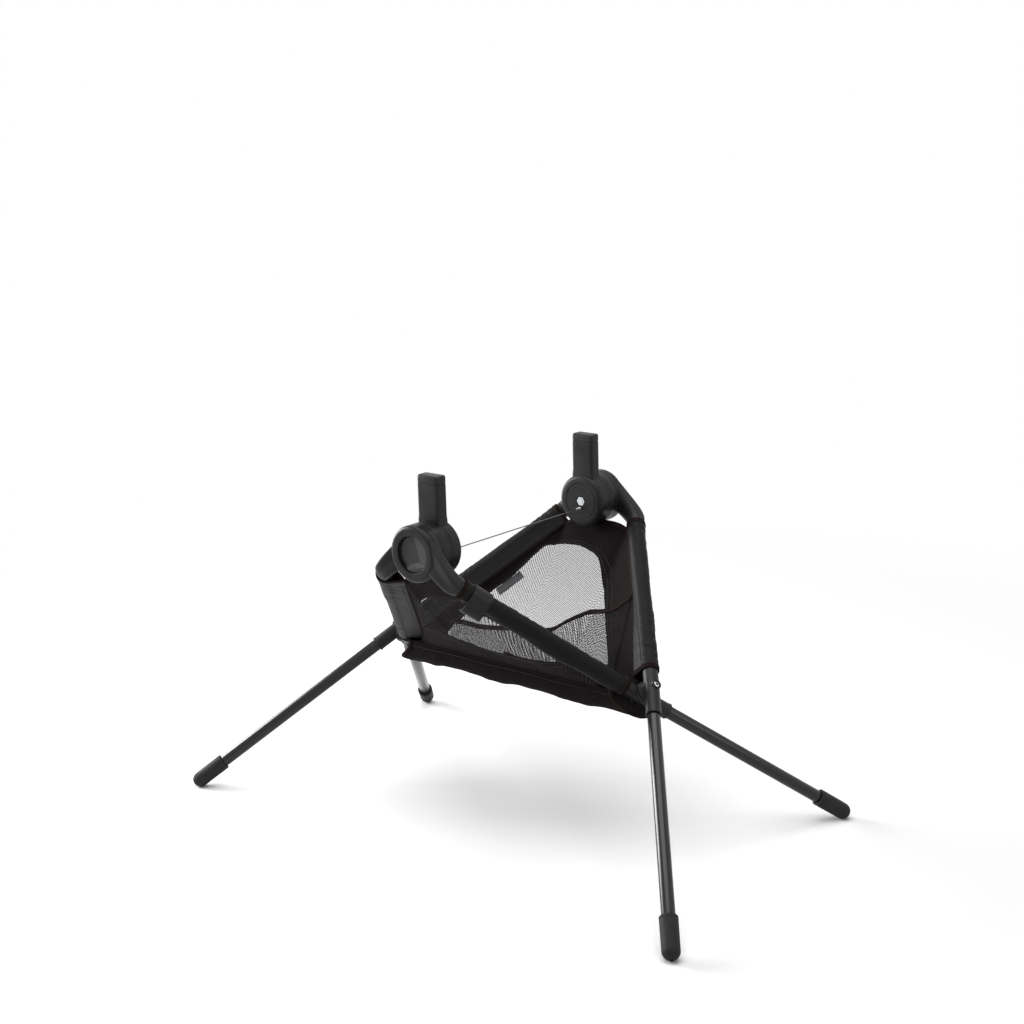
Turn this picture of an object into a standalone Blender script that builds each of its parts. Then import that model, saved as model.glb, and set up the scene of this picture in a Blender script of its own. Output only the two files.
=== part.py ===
"""Folding bassinet stand: two crossed pairs of poles hung from two hubs, with a fabric sling.

Metres, +Z up. The origin is on the floor under the middle of the stand.
+X is the front, -Y the near side. The hubs turn about one line parallel to Y.
Each pole hangs from one hub, crosses its partner at a pivot and stands on the other side.
"""

import math

import bmesh
import bpy
from mathutils import Matrix, Vector

# Stance
HUB_HEIGHT = 0.4537
HUB_FACE_Y = 0.2260
PIVOT_X = 0.2408
PIVOT_HEIGHT = 0.2340
POLE_SPLAY = math.radians(40.0)
POLE_SPACING = 0.0250
ARM_OFFSET = 0.0282

# The legs carry on the line from the pivots' middle to the hubs, past which the arms stand off
PIVOT_REACH = math.hypot(PIVOT_X, HUB_HEIGHT - PIVOT_HEIGHT)
LEG_TILT = math.atan2(PIVOT_X, HUB_HEIGHT - PIVOT_HEIGHT) - math.asin(ARM_OFFSET / PIVOT_REACH)

# Clearance between pieces that touch
GAP = 0.0003

# Tubes
LEG_DIAMETER = 0.0190
UPPER_DIAMETER = 0.0215
TUBE_WALL = 0.0015

# Foot caps
CAP_LENGTH = 0.0600
CAP_TOP_DIAMETER = 0.0258
CAP_DOME_DIAMETER = 0.0249
CAP_GRIP = 0.0380
CAP_HOLE_DIAMETER = 0.0040
CAP_HOLE_DEPTH = 0.0030
FLOOR_FLAT = 0.0004

# Pivot sockets
SOCKET_DIAMETER = 0.0230
SOCKET_DOWN = 0.0470
SOCKET_UP = 0.0360
SPIGOT_LENGTH = 0.0280
LEG_GRIP = 0.0380
LIP_WIDTH = 0.0006
LIP_LENGTH = 0.0025
BOSS_DIAMETER = 0.0330
BOSS_START = 0.0013
BOSS_RIM = 0.0030
BOSS_STEP = 0.0016
WASHER_DIAMETER = 0.0300
WASHER_THICKNESS = 0.0010
BOLT_DIAMETER = 0.0080
HEAD_DIAMETER = 0.0096
HEAD_THICKNESS = 0.0030
HEAD_SINK = 0.0008
COLLAR_DIAMETER = 0.0140
COLLAR_HEIGHT = 0.0022
NUT_CAP_DIAMETER = 0.0180
NUT_CAP_HEIGHT = 0.0040

# Hubs
HUB_DIAMETER = 0.0760
HUB_FILLET = 0.0030
FRONT_DISC = 0.0200
BACK_DISC = 0.0167
DRUM_LENGTH = 0.0257
RECESS_DIAMETER = 0.0540
RECESS_DEPTH = 0.0125
BUTTON_SINK = 0.0030
BUTTON_THICKNESS = 0.0050
BUTTON_TRAVEL = 0.0035
SPRING_POCKET_DIAMETER = 0.0280
SPRING_POCKET_DEPTH = 0.0045
SPRING_DIAMETER = 0.0235
SPRING_WIRE = 0.0014
SPRING_TURNS = 3.0
HUB_BOLT_DIAMETER = 0.0080
HUB_HEAD_DIAMETER = 0.0160
HUB_HEAD_THICKNESS = 0.0030
NUT_WIDTH = 0.0130
NUT_THICKNESS = 0.0055
NUT_POCKET_DIAMETER = 0.0166
NUT_POCKET_DEPTH = 0.0065

# Arms
ARM_END_DIAMETER = 0.0262
ARM_LENGTH = 0.1178
ARM_STRAIGHT = 0.0160
ARM_BORE = 0.0200
ARM_ROOT_WIDTH = 0.0300
ARM_ROOT_SHIFT = 0.0090
ARM_SET_BACK = 0.0010
ARM_RELIEF = 0.0009
ARM_LEVEL = 0.5000
ARM_BEND = 0.1800
ARM_STEPS = 9

# Posts
POST_WIDTH = 0.0340
POST_DEPTH = 0.0240
POST_TOP = 0.1070
POST_CORNER = 0.0080
POST_CROWN = 0.0030
POST_SINK = 0.0095
POST_FLARE = 0.0030
POST_FLARE_HEIGHT = 0.0090

# Cable
CABLE_DIAMETER = 0.0018
CABLE_DROP = 0.0112
FERRULE_DIAMETER = 0.0044
FERRULE_LENGTH = 0.0080

# Sling
SLEEVE_WALL = 0.0010
SLEEVE_START = 0.0300
TAIL_LENGTH = 0.0225
TAIL_THICKNESS = 0.0030
PANEL_THICKNESS = 0.0016
PANEL_BELOW_ARM = 0.0050
PANEL_END = 0.0180
SEAM_Y = 0.0360
SEAM_RISE = 0.0050
SEAM_HEIGHT = PIVOT_HEIGHT + SEAM_RISE
FLOOR_SAG = 0.0450
FLOOR_HALF_LENGTH = 0.2220
FLOOR_FOLDS = 5
FLOOR_FOLD_DEPTH = 0.0025
POCKET_HALF_LENGTH = 0.1400
POCKET_HEIGHT = 0.0400
POCKET_SAG = 0.0500
POCKET_STAND_OFF = 0.0100
POCKET_CLEARANCE = 0.0008
TAB_LENGTH = 0.0440
TAB_WIDTH = 0.0120
TAB_THICKNESS = 0.0008
TAB_X = -0.1000
TAB_HEIGHT = 0.3150
LOOP_X = 0.0560
LOOP_WIDTH = 0.0130
LOOP_HEIGHT = 0.0170
LOOP_CORD = 0.0030

# Storage clip
CLIP_BELOW_ARM = 0.0190
CLIP_LENGTH = 0.0300
CLIP_WALL = 0.0026
CLIP_TURN = math.radians(50)
CLIP_HOOK_END = math.radians(175)
JAW_DIAMETER = 0.0165
JAW_DROP = 0.0170
JAW_END = math.radians(-40)

ROUND = 28
MIDDLE = 24
FINE = 18

FRONT, BACK = 1, -1
NEAR, FAR = -1, 1
ENDS = {"front": FRONT, "back": BACK}
SIDES = {"near": NEAR, "far": FAR}

COLOURS = {
    "gloss_tube": ((0.020, 0.020, 0.022), 0.22, 0.6),
    "matte_plastic": ((0.045, 0.046, 0.048), 0.48, 0.0),
    "rubber": ((0.026, 0.026, 0.027), 0.75, 0.0),
    "button": ((0.050, 0.050, 0.052), 0.18, 0.0),
    "steel": ((0.62, 0.63, 0.65), 0.25, 1.0),
    "cloth": ((0.026, 0.020, 0.020), 0.85, 0.0),
    "sleeve": ((0.050, 0.045, 0.048), 0.60, 0.0),
    "mesh": ((0.035, 0.030, 0.030), 0.80, 0.0),
    "label": ((0.180, 0.180, 0.190), 0.80, 0.0),
}


def clear_scene():
    for item in list(bpy.data.objects):
        bpy.data.objects.remove(item)


def material(name):
    found = bpy.data.materials.get(name)
    if found:
        return found
    colour, roughness, metallic = COLOURS[name]
    found = bpy.data.materials.new(name)
    found.use_nodes = True
    shader = found.node_tree.nodes["Principled BSDF"]
    shader.inputs["Base Color"].default_value = (*colour, 1.0)
    shader.inputs["Roughness"].default_value = roughness
    shader.inputs["Metallic"].default_value = metallic
    return found


def add_object(name, mesh, finish, matrix=Matrix()):
    item = bpy.data.objects.new(name, mesh)
    bpy.context.collection.objects.link(item)
    item.matrix_world = matrix
    mesh.shade_smooth()
    mesh.set_sharp_from_angle(angle=math.radians(35))
    mesh.materials.append(material(finish))
    return item


def mesh_from(bm, name):
    bmesh.ops.recalc_face_normals(bm, faces=bm.faces)
    mesh = bpy.data.meshes.new(name)
    bm.to_mesh(mesh)
    bm.free()
    return mesh


def frame_matrix(origin, axis, across):
    """Matrix whose local Z runs along axis and whose local X is as near to across as it can be."""
    z = Vector(axis).normalized()
    x = (Vector(across) - z * Vector(across).dot(z)).normalized()
    y = z.cross(x)
    matrix = Matrix((x, y, z)).transposed().to_4x4()
    matrix.translation = Vector(origin)
    return matrix


def turned(profile, segments, name):
    """Closed body turned about local Z from a profile of (radius, height) points."""
    bm = bmesh.new()
    closed = profile[0][0] > 0 and profile[-1][0] > 0
    verts = [bm.verts.new((radius, 0, height)) for radius, height in profile]
    pairs = list(zip(verts, verts[1:]))
    if closed:
        pairs.append((verts[-1], verts[0]))
    edges = [bm.edges.new(pair) for pair in pairs]
    bmesh.ops.spin(
        bm,
        geom=verts + edges,
        cent=(0, 0, 0),
        axis=(0, 0, 1),
        angle=math.tau,
        steps=segments,
        use_merge=True,
    )
    bmesh.ops.remove_doubles(bm, verts=bm.verts, dist=1e-6)
    return mesh_from(bm, name)


def arc(centre, radius, start, end, steps):
    """Points of an arc in a profile; angles in degrees from the radius axis."""
    points = []
    for step in range(steps + 1):
        angle = math.radians(start + (end - start) * step / steps)
        points.append((centre[0] + radius * math.cos(angle), centre[1] + radius * math.sin(angle)))
    return points


def lofted(rings, name):
    """Closed body through rings of points, with flat ends."""
    bm = bmesh.new()
    rows = [[bm.verts.new(point) for point in ring] for ring in rings]
    count = len(rows[0])
    for lower, upper in zip(rows, rows[1:]):
        for index in range(count):
            after = (index + 1) % count
            bm.faces.new((lower[index], lower[after], upper[after], upper[index]))
    bm.faces.new(rows[0])
    bm.faces.new(rows[-1])
    return mesh_from(bm, name)


def hollow_loft(outer_rings, inner_rings, name):
    """Closed body between an outer skin and a bore, both through rings of equal count."""
    bm = bmesh.new()
    skins = [[[bm.verts.new(p) for p in ring] for ring in rings] for rings in (outer_rings, inner_rings)]
    count = len(skins[0][0])
    for rows in skins:
        for lower, upper in zip(rows, rows[1:]):
            for index in range(count):
                after = (index + 1) % count
                bm.faces.new((lower[index], lower[after], upper[after], upper[index]))
    for end in (0, -1):
        outer, inner = skins[0][end], skins[1][end]
        for index in range(count):
            after = (index + 1) % count
            bm.faces.new((outer[index], outer[after], inner[after], inner[index]))
    return mesh_from(bm, name)


def slab(grid_low, grid_high, name):
    """Closed thin body between two grids of points with the same rows and columns."""
    bm = bmesh.new()
    sheets = [[[bm.verts.new(p) for p in row] for row in grid] for grid in (grid_low, grid_high)]
    rows, columns = len(grid_low), len(grid_low[0])
    for sheet in sheets:
        for i in range(rows - 1):
            for j in range(columns - 1):
                bm.faces.new((sheet[i][j], sheet[i][j + 1], sheet[i + 1][j + 1], sheet[i + 1][j]))
    low, high = sheets
    for i in range(rows - 1):
        for j in (0, columns - 1):
            bm.faces.new((low[i][j], low[i + 1][j], high[i + 1][j], high[i][j]))
    for j in range(columns - 1):
        for i in (0, rows - 1):
            bm.faces.new((low[i][j], low[i][j + 1], high[i][j + 1], high[i][j]))
    return mesh_from(bm, name)


def cylinder_cutter(name, radius, length, origin, axis, segments=FINE):
    """Cylinder from origin along axis, kept out of the finished stand."""
    mesh = turned([(0, 0), (radius, 0), (radius, length), (0, length)], segments, name)
    return cutter(name, mesh, frame_matrix(origin, axis, perpendicular(axis)))


def perpendicular(axis):
    return Vector((0, 1, 0)) if abs(Vector(axis).normalized().y) < 0.9 else Vector((1, 0, 0))


def cutter(name, mesh, matrix=Matrix()):
    item = bpy.data.objects.new(name, mesh)
    bpy.context.collection.objects.link(item)
    item.matrix_world = matrix
    item.hide_render = True
    item.display_type = "WIRE"
    return item


def boolean(item, tool, operation):
    modifier = item.modifiers.new(tool.name, "BOOLEAN")
    modifier.object = tool
    modifier.operation = operation
    modifier.solver = "EXACT"


class Pole:
    """Centreline of one pole: pivot point, leg direction and upper direction."""

    def __init__(self, side, end):
        self.side, self.end = side, end
        self.layer = 1 if side == FAR else -1
        self.normal = Vector((end * math.cos(LEG_TILT), 0, math.sin(LEG_TILT)))
        middle = Vector((end * PIVOT_X, 0, PIVOT_HEIGHT))
        self.pivot = middle + self.normal * self.layer * POLE_SPACING / 2
        self.down = self.direction(LEG_TILT)
        reach = math.hypot(self.pivot.x, HUB_HEIGHT - self.pivot.z)
        base = math.atan2(abs(self.pivot.x), HUB_HEIGHT - self.pivot.z)
        self.lean = base - math.asin(ARM_OFFSET / reach)
        self.up = -self.direction(self.lean)
        self.tangent = math.sqrt(reach**2 - ARM_OFFSET**2) / math.cos(POLE_SPLAY)
        self.arm_end = self.tangent - ARM_LENGTH

    def direction(self, lean):
        flat = Vector((self.end * math.sin(lean), 0, -math.cos(lean)))
        return flat * math.cos(POLE_SPLAY) - Vector((0, self.side, 0)) * math.sin(POLE_SPLAY)

    def upper(self, distance):
        """Point on the upper tube's line, at a distance above the pivot."""
        return self.pivot + self.up * distance

    def leg(self, distance):
        """Point on the leg's line, at a distance below the pivot."""
        return self.pivot + self.down * distance

    @property
    def leg_length(self):
        """Distance from the pivot to the middle of the foot's dome, which stands on the floor."""
        dome = CAP_DOME_DIAMETER / 2 - FLOOR_FLAT
        return (self.pivot.z - dome) / -self.down.z

    @property
    def inward(self):
        """Direction from the pole's line into the panel that its sleeve carries."""
        across = Vector((-self.end, 0, 0))
        return (across - self.up * across.dot(self.up)).normalized()


def ring(centre, axis, radius, segments, across=None):
    matrix = frame_matrix(centre, axis, across or perpendicular(axis))
    points = []
    for step in range(segments):
        angle = math.tau * step / segments
        points.append(matrix @ Vector((radius * math.cos(angle), radius * math.sin(angle), 0)))
    return points


def tube(name, start, end, diameter, finish):
    length = (end - start).length
    radius = diameter / 2
    profile = [(radius, length), (radius, 0), (radius - TUBE_WALL, 0), (radius - TUBE_WALL, length)]
    mesh = turned(profile, FINE, name)
    return add_object(name, mesh, finish, frame_matrix(start, end - start, perpendicular(end - start)))


def leg_tube(name, pole):
    top = SOCKET_DOWN - LEG_GRIP + GAP
    bottom = pole.leg_length + CAP_DOME_DIAMETER / 2 - CAP_LENGTH + CAP_GRIP - GAP
    return tube(name, pole.leg(top), pole.leg(bottom), LEG_DIAMETER, "gloss_tube")


def upper_tube(name, pole):
    bottom = SOCKET_UP + GAP
    top = pole.arm_end + ARM_BORE - GAP
    return tube(name, pole.upper(bottom), pole.upper(top), UPPER_DIAMETER, "gloss_tube")


def foot_cap(name, pole):
    """Rubber foot: tapered barrel, domed end with a small hole, cut flat where it stands."""
    top, dome = CAP_TOP_DIAMETER / 2, CAP_DOME_DIAMETER / 2
    bore = LEG_DIAMETER / 2 + GAP
    chamfer = (top - bore) * 0.4
    hole = CAP_HOLE_DIAMETER / 2
    tip = CAP_LENGTH
    hole_angle = math.degrees(math.acos(hole / dome))
    profile = [(bore, CAP_GRIP), (bore, 0), (top - chamfer, 0), (top, chamfer)]
    profile += arc((0, tip - dome), dome, 0, hole_angle, 6)
    profile += [(hole, tip - CAP_HOLE_DEPTH), (0, tip - CAP_HOLE_DEPTH)]
    profile = [(0, CAP_GRIP)] + profile
    start = pole.leg(pole.leg_length + dome - CAP_LENGTH)
    mesh = turned(profile, FINE, name)
    item = add_object(name, mesh, "rubber", frame_matrix(start, pole.down, perpendicular(pole.down)))
    below = bmesh.new()
    bmesh.ops.create_cube(below, size=CAP_LENGTH)
    floor = cutter(name + "_floor", mesh_from(below, name + "_floor"))
    foot = pole.leg(pole.leg_length)
    floor.matrix_world = Matrix.Translation((foot.x, foot.y, -CAP_LENGTH / 2))
    boolean(item, floor, "DIFFERENCE")
    return item


def socket(name, pole):
    """Moulded socket: bent at the pivot, with a bore for the leg, a spigot and a pivot boss."""
    outer, spigot = SOCKET_DIAMETER / 2, UPPER_DIAMETER / 2 - TUBE_WALL - GAP
    across = pole.normal
    bend = (pole.up - pole.down).normalized()
    rings = [
        ring(pole.leg(SOCKET_DOWN), pole.down * -1, outer + LIP_WIDTH, FINE, across),
        ring(pole.leg(SOCKET_DOWN - LIP_LENGTH), pole.down * -1, outer + LIP_WIDTH, FINE, across),
        ring(pole.leg(SOCKET_DOWN - 2 * LIP_LENGTH), pole.down * -1, outer, FINE, across),
        ring(pole.pivot, bend, outer, FINE, across),
        ring(pole.upper(SOCKET_UP), pole.up, outer, FINE, across),
        ring(pole.upper(SOCKET_UP), pole.up, spigot, FINE, across),
        ring(pole.upper(SOCKET_UP + SPIGOT_LENGTH), pole.up, spigot, FINE, across),
    ]
    item = add_object(name, lofted(rings, name), "matte_plastic")
    towards = pole.normal * -pole.layer
    reach = POLE_SPACING / 2 - WASHER_THICKNESS / 2 - GAP
    rim, neck = BOSS_DIAMETER / 2, BOSS_DIAMETER / 2 - BOSS_STEP
    profile = [
        (0, BOSS_START),
        (neck, BOSS_START),
        (neck, reach - BOSS_RIM),
        (rim, reach - BOSS_RIM),
        (rim, reach),
        (0, reach),
    ]
    boss = cutter(name + "_boss", turned(profile, MIDDLE, name + "_boss"))
    boss.matrix_world = frame_matrix(pole.pivot, towards, pole.up)
    boolean(item, boss, "UNION")
    if pole.side == FAR:
        height, radius = outer + COLLAR_HEIGHT, COLLAR_DIAMETER / 2
    else:
        height, radius = outer + GAP, NUT_CAP_DIAMETER / 2
    foot = pole.pivot - towards * BOSS_START * 2
    collar = cylinder_cutter(name + "_collar", radius, height - BOSS_START * 2, foot, -towards)
    boolean(item, collar, "UNION")
    start = pole.leg(SOCKET_DOWN + CAP_LENGTH)
    leg_bore = cylinder_cutter(
        name + "_leg_bore", LEG_DIAMETER / 2 + GAP, CAP_LENGTH + LEG_GRIP, start, -pole.down
    )
    boolean(item, leg_bore, "DIFFERENCE")
    bore, far_end = BOLT_DIAMETER / 2 + GAP, 2 * SOCKET_DIAMETER
    hole = [(0, -far_end), (bore, -far_end)]
    if pole.side == FAR:
        seat_floor = height - HEAD_THICKNESS - HEAD_SINK - GAP
        seat = HEAD_DIAMETER / 2 + GAP
        hole += [(bore, seat_floor), (seat, seat_floor), (seat, far_end)]
    else:
        hole += [(bore, far_end)]
    hole.append((0, far_end))
    through = cutter(name + "_bolt_hole", turned(hole, FINE, name + "_bolt_hole"))
    through.matrix_world = frame_matrix(pole.pivot, -towards, pole.up)
    boolean(item, through, "DIFFERENCE")
    return item


def pivot_parts(end_name):
    """Bolt, washer and nut cap that hold one crossed pair together."""
    end = ENDS[end_name]
    outer_pole, inner_pole = Pole(FAR, end), Pole(NEAR, end)
    normal = outer_pole.normal
    middle = (outer_pole.pivot + inner_pole.pivot) / 2
    collar_top = POLE_SPACING / 2 + SOCKET_DIAMETER / 2 + COLLAR_HEIGHT
    head_top = collar_top - HEAD_SINK
    nut_seat = POLE_SPACING / 2 + SOCKET_DIAMETER / 2 + GAP
    nut_end = nut_seat + GAP + NUT_CAP_HEIGHT
    bolt_end = nut_end - NUT_CAP_HEIGHT / 3
    shank, head = BOLT_DIAMETER / 2, HEAD_DIAMETER / 2
    driver = head * 0.45
    profile = [
        (0, -bolt_end),
        (shank, -bolt_end),
        (shank, head_top - HEAD_THICKNESS),
        (head, head_top - HEAD_THICKNESS),
        (head, head_top - HEAD_THICKNESS / 4),
        (head * 0.85, head_top),
        (driver, head_top),
        (driver, head_top - HEAD_THICKNESS / 2),
        (0, head_top - HEAD_THICKNESS / 2),
    ]
    matrix = frame_matrix(middle, normal, (0, 1, 0))
    add_object(f"{end_name}_pivot_bolt", turned(profile, FINE, "bolt"), "steel", matrix)
    bore = shank + GAP
    half = WASHER_THICKNESS / 2
    rim = WASHER_DIAMETER / 2
    profile = [(rim, half), (rim, -half), (bore, -half), (bore, half)]
    add_object(f"{end_name}_pivot_washer", turned(profile, MIDDLE, "washer"), "matte_plastic", matrix)
    base, top = -(nut_seat + GAP), -nut_end
    edge = NUT_CAP_DIAMETER / 2
    ridge = NUT_CAP_HEIGHT / 4
    floor = -(bolt_end + GAP)
    profile = [
        (0, floor),
        (bore, floor),
        (bore, base),
        (edge, base),
        (edge, base - ridge),
        (edge - ridge, base - 2 * ridge),
        (edge - ridge, base - 3 * ridge),
        (edge - 2 * ridge, top),
        (0, top),
    ]
    add_object(f"{end_name}_pivot_nut_cap", turned(profile, FINE, "nut_cap"), "matte_plastic", matrix)


def hub_point(side, depth):
    """Point on the hub's line at a depth in from its outer face."""
    return Vector((0, side * (HUB_FACE_Y - depth), HUB_HEIGHT))


def arm(name, pole):
    """Hub disc with a fairing that curves from the disc's rim onto the pole's line."""
    front = pole.end == FRONT
    start = 0 if front else FRONT_DISC + GAP
    thickness = FRONT_DISC if front else BACK_DISC
    inward = Vector((0, -pole.side, 0))
    radius, fillet = HUB_DIAMETER / 2, HUB_FILLET
    soft = fillet if front else fillet / 3
    bore = HUB_BOLT_DIAMETER / 2 + GAP
    outline = arc((radius - soft, soft), soft, 0, -90, 3)
    if front:
        recess, pocket = RECESS_DIAMETER / 2, SPRING_POCKET_DIAMETER / 2
        pocket_floor = RECESS_DEPTH + SPRING_POCKET_DEPTH
        outline += [(recess, 0), (recess, RECESS_DEPTH), (pocket, RECESS_DEPTH)]
        outline += [(pocket, pocket_floor), (bore, pocket_floor)]
    else:
        outline += [(bore, 0)]
    outline += [(bore, thickness), (radius, thickness)]
    matrix = frame_matrix(hub_point(pole.side, start), inward, (1, 0, 0))
    item = add_object(name, turned(outline, ROUND, name), "matte_plastic", matrix)
    fairing = cutter(name + "_fairing", lofted(fairing_rings(pole, start, thickness), name + "_fairing"))
    inner = RECESS_DIAMETER / 2 if front else bore
    profile = [(0, -fillet), (inner, -fillet), (inner, thickness + fillet), (0, thickness + fillet)]
    boolean(fairing, cutter(name + "_hollow", turned(profile, ROUND, name + "_hollow"), matrix), "DIFFERENCE")
    if not front:
        relief = radius + ARM_RELIEF
        profile = [(0, -start), (relief, -start), (relief, ARM_RELIEF / 3), (0, ARM_RELIEF / 3)]
        boolean(fairing, cutter(name + "_relief", turned(profile, ROUND, name + "_relief"), matrix), "DIFFERENCE")
    boolean(item, fairing, "UNION")
    tube_bore = cylinder_cutter(
        name + "_tube_bore",
        UPPER_DIAMETER / 2 + GAP,
        ARM_BORE + ARM_STRAIGHT,
        pole.upper(pole.arm_end - ARM_STRAIGHT),
        pole.up,
    )
    boolean(item, tube_bore, "DIFFERENCE")
    return item


def fairing_rings(pole, start, thickness):
    """Rings of the fairing, from inside the disc to the arm's round end.

    The middle line starts level with the disc, swings out and bends onto the pole's line.
    The section starts broad, with a crisp ridge on its upper outer corner, and ends round.
    """
    down = Vector((pole.end * math.sin(pole.lean), 0, -math.cos(pole.lean)))
    across = Vector((pole.end * math.cos(pole.lean), 0, math.sin(pole.lean)))
    joint = pole.upper(pole.arm_end + ARM_STRAIGHT)
    slope = math.tan(POLE_SPLAY)
    length = (ARM_LENGTH - ARM_STRAIGHT) * math.cos(POLE_SPLAY)
    root = hub_point(pole.side, start + thickness / 2 + ARM_SET_BACK / 2)
    last_pull, first_pull = ARM_BEND * length, ARM_LEVEL * length
    joint_out = abs(joint.y) + slope * last_pull
    level_out = abs(root.y) + (joint_out - abs(root.y)) * 0.5
    run = (0, first_pull, length - last_pull, length)
    out = (abs(root.y), level_out, joint_out, abs(joint.y))
    round_end = ARM_END_DIAMETER / 2
    deep = thickness / 2 - ARM_SET_BACK
    rings = []
    for step in range(ARM_STEPS + 1):
        along = step / ARM_STEPS
        ease = along * along * (3 - 2 * along)
        offset = ARM_OFFSET - ARM_ROOT_SHIFT * (1 - ease)
        centre = hub_point(pole.side, 0) + across * offset + down * bezier(*run, along)
        centre.y = pole.side * bezier(*out, along)
        travel = down * bezier_slope(*run, along)
        travel.y = pole.side * bezier_slope(*out, along)
        travel.normalize()
        width_axis = (across - travel * across.dot(travel)).normalized()
        depth_axis = Vector((0, pole.side, 0))
        depth_axis = (depth_axis - travel * depth_axis.dot(travel)).normalized()
        half_width = ARM_ROOT_WIDTH / 2 * (1 - ease) + round_end * ease
        late = ease * ease
        half_depth = deep * (1 - late) + round_end * late
        rings.append(ridged_ring(centre, width_axis * half_width, depth_axis * half_depth, 1 - ease))
    end_width = (across - pole.up * across.dot(pole.up)).normalized()
    end_depth = pole.up.cross(end_width) * pole.side * pole.end
    end_depth *= math.copysign(1, end_depth.y * pole.side)
    rings.append(ridged_ring(pole.upper(pole.arm_end), end_width * round_end, end_depth * round_end, 0))
    return rings


def bezier(a, b, c, d, t):
    s = 1 - t
    return s**3 * a + 3 * s * s * t * b + 3 * s * t * t * c + t**3 * d


def bezier_slope(a, b, c, d, t):
    s = 1 - t
    return 3 * s * s * (b - a) + 6 * s * t * (c - b) + 3 * t * t * (d - c)


def ridged_ring(centre, width, depth, ridge):
    """Ring that is round where ridge is 0 and has a corner towards width + depth where it is 1."""
    points = []
    for step in range(FINE):
        angle = math.tau * (step + 0.5) / FINE
        c, s = math.cos(angle), math.sin(angle)
        corner = max(0.0, math.cos(angle - math.radians(45))) ** 6
        power = 2 + ridge * (0.6 + 6 * corner)
        fullness = 1 / (abs(c) ** power + abs(s) ** power) ** (1 / power)
        points.append(centre + (width * c + depth * s) * fullness)
    return points


def hub_parts(side_name):
    side = SIDES[side_name]
    inward = Vector((0, -side, 0))
    drum_start = FRONT_DISC + BACK_DISC + 2 * GAP
    matrix = frame_matrix(hub_point(side, 0), inward, (1, 0, 0))
    hub_body(side_name, side, drum_start, matrix)
    hub_fasteners(side_name, drum_start, matrix)
    release_button(side_name, matrix)
    button_spring(side_name, matrix)


def hub_body(side_name, side, drum_start, matrix):
    """Drum with its standing post, one moulding."""
    name = f"{side_name}_hub_body"
    radius, fillet = HUB_DIAMETER / 2, HUB_FILLET
    end = drum_start + DRUM_LENGTH
    bore = HUB_BOLT_DIAMETER / 2 + GAP
    pocket = NUT_POCKET_DIAMETER / 2
    outline = [(bore, drum_start), (radius, drum_start)]
    outline += arc((radius - 2 * fillet, end - 2 * fillet), 2 * fillet, 0, 90, 4)
    outline += [(pocket, end), (pocket, end - NUT_POCKET_DEPTH), (bore, end - NUT_POCKET_DEPTH)]
    item = add_object(name, turned(outline, ROUND, name), "matte_plastic", matrix)
    middle = hub_point(side, drum_start + DRUM_LENGTH / 2)
    boolean(item, post_mesh(name, middle), "UNION")
    return item


def post_mesh(name, middle):
    """Post with rounded corners, a foot that flares along the drum and a crowned top."""
    rim = HUB_DIAMETER / 2
    levels = [
        (rim - POST_SINK, POST_FLARE, 0),
        (rim, POST_FLARE, 0),
        (rim + POST_FLARE_HEIGHT / 2, POST_FLARE / 3, 0),
        (rim + POST_FLARE_HEIGHT, 0, 0),
        (POST_TOP - POST_CROWN, 0, 0),
        (POST_TOP - POST_CROWN / 3, 0, POST_CROWN / 3),
        (POST_TOP, 0, POST_CROWN),
    ]
    rings = []
    for height, flare, inset in levels:
        width = POST_WIDTH + 2 * (flare - inset)
        outline = rounded_rectangle(width, POST_DEPTH - 2 * inset, POST_CORNER - inset)
        rings.append([Vector((x, middle.y + y, HUB_HEIGHT + height)) for x, y in outline])
    return cutter(name + "_post", lofted(rings, name + "_post"))


def rounded_rectangle(width, depth, corner):
    points = []
    for index, (sx, sy) in enumerate(((1, 1), (-1, 1), (-1, -1), (1, -1))):
        centre = (sx * (width / 2 - corner), sy * (depth / 2 - corner))
        points += arc(centre, corner, 90 * index, 90 * index + 90, 4)
    return points


def hub_fasteners(side_name, drum_start, matrix):
    """Bolt through the stack of discs, and its hexagonal nut in the drum's pocket."""
    shank, head = HUB_BOLT_DIAMETER / 2, HUB_HEAD_DIAMETER / 2
    floor = RECESS_DEPTH + SPRING_POCKET_DEPTH - GAP
    end = drum_start + DRUM_LENGTH
    seat = end - NUT_POCKET_DEPTH
    profile = [(0, floor - HUB_HEAD_THICKNESS), (head, floor - HUB_HEAD_THICKNESS), (head, floor), (shank, floor)]
    profile += [(shank, end - GAP), (0, end - GAP)]
    add_object(f"{side_name}_hub_bolt", turned(profile, FINE, "hub_bolt"), "steel", matrix)
    rings = []
    corner = NUT_WIDTH / 2 / math.cos(math.radians(30))
    for depth in (seat + GAP, seat + GAP + NUT_THICKNESS):
        rings.append([Vector((*point, depth)) for point in hexagon(corner)])
    inner = [[Vector((*point, r[0].z)) for point in hexagon(shank + 2 * GAP)] for r in rings]
    add_object(f"{side_name}_hub_nut", hollow_loft(rings, inner, "hub_nut"), "steel", matrix)


def hexagon(corner):
    """Hexagon with two points on each side, so that its bore can match it."""
    corners = [(corner * math.cos(math.tau * k / 6), corner * math.sin(math.tau * k / 6)) for k in range(6)]
    points = []
    for (ax, ay), (bx, by) in zip(corners, corners[1:] + corners[:1]):
        points += [(ax, ay), ((ax + bx) / 2, (ay + by) / 2)]
    return points


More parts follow.
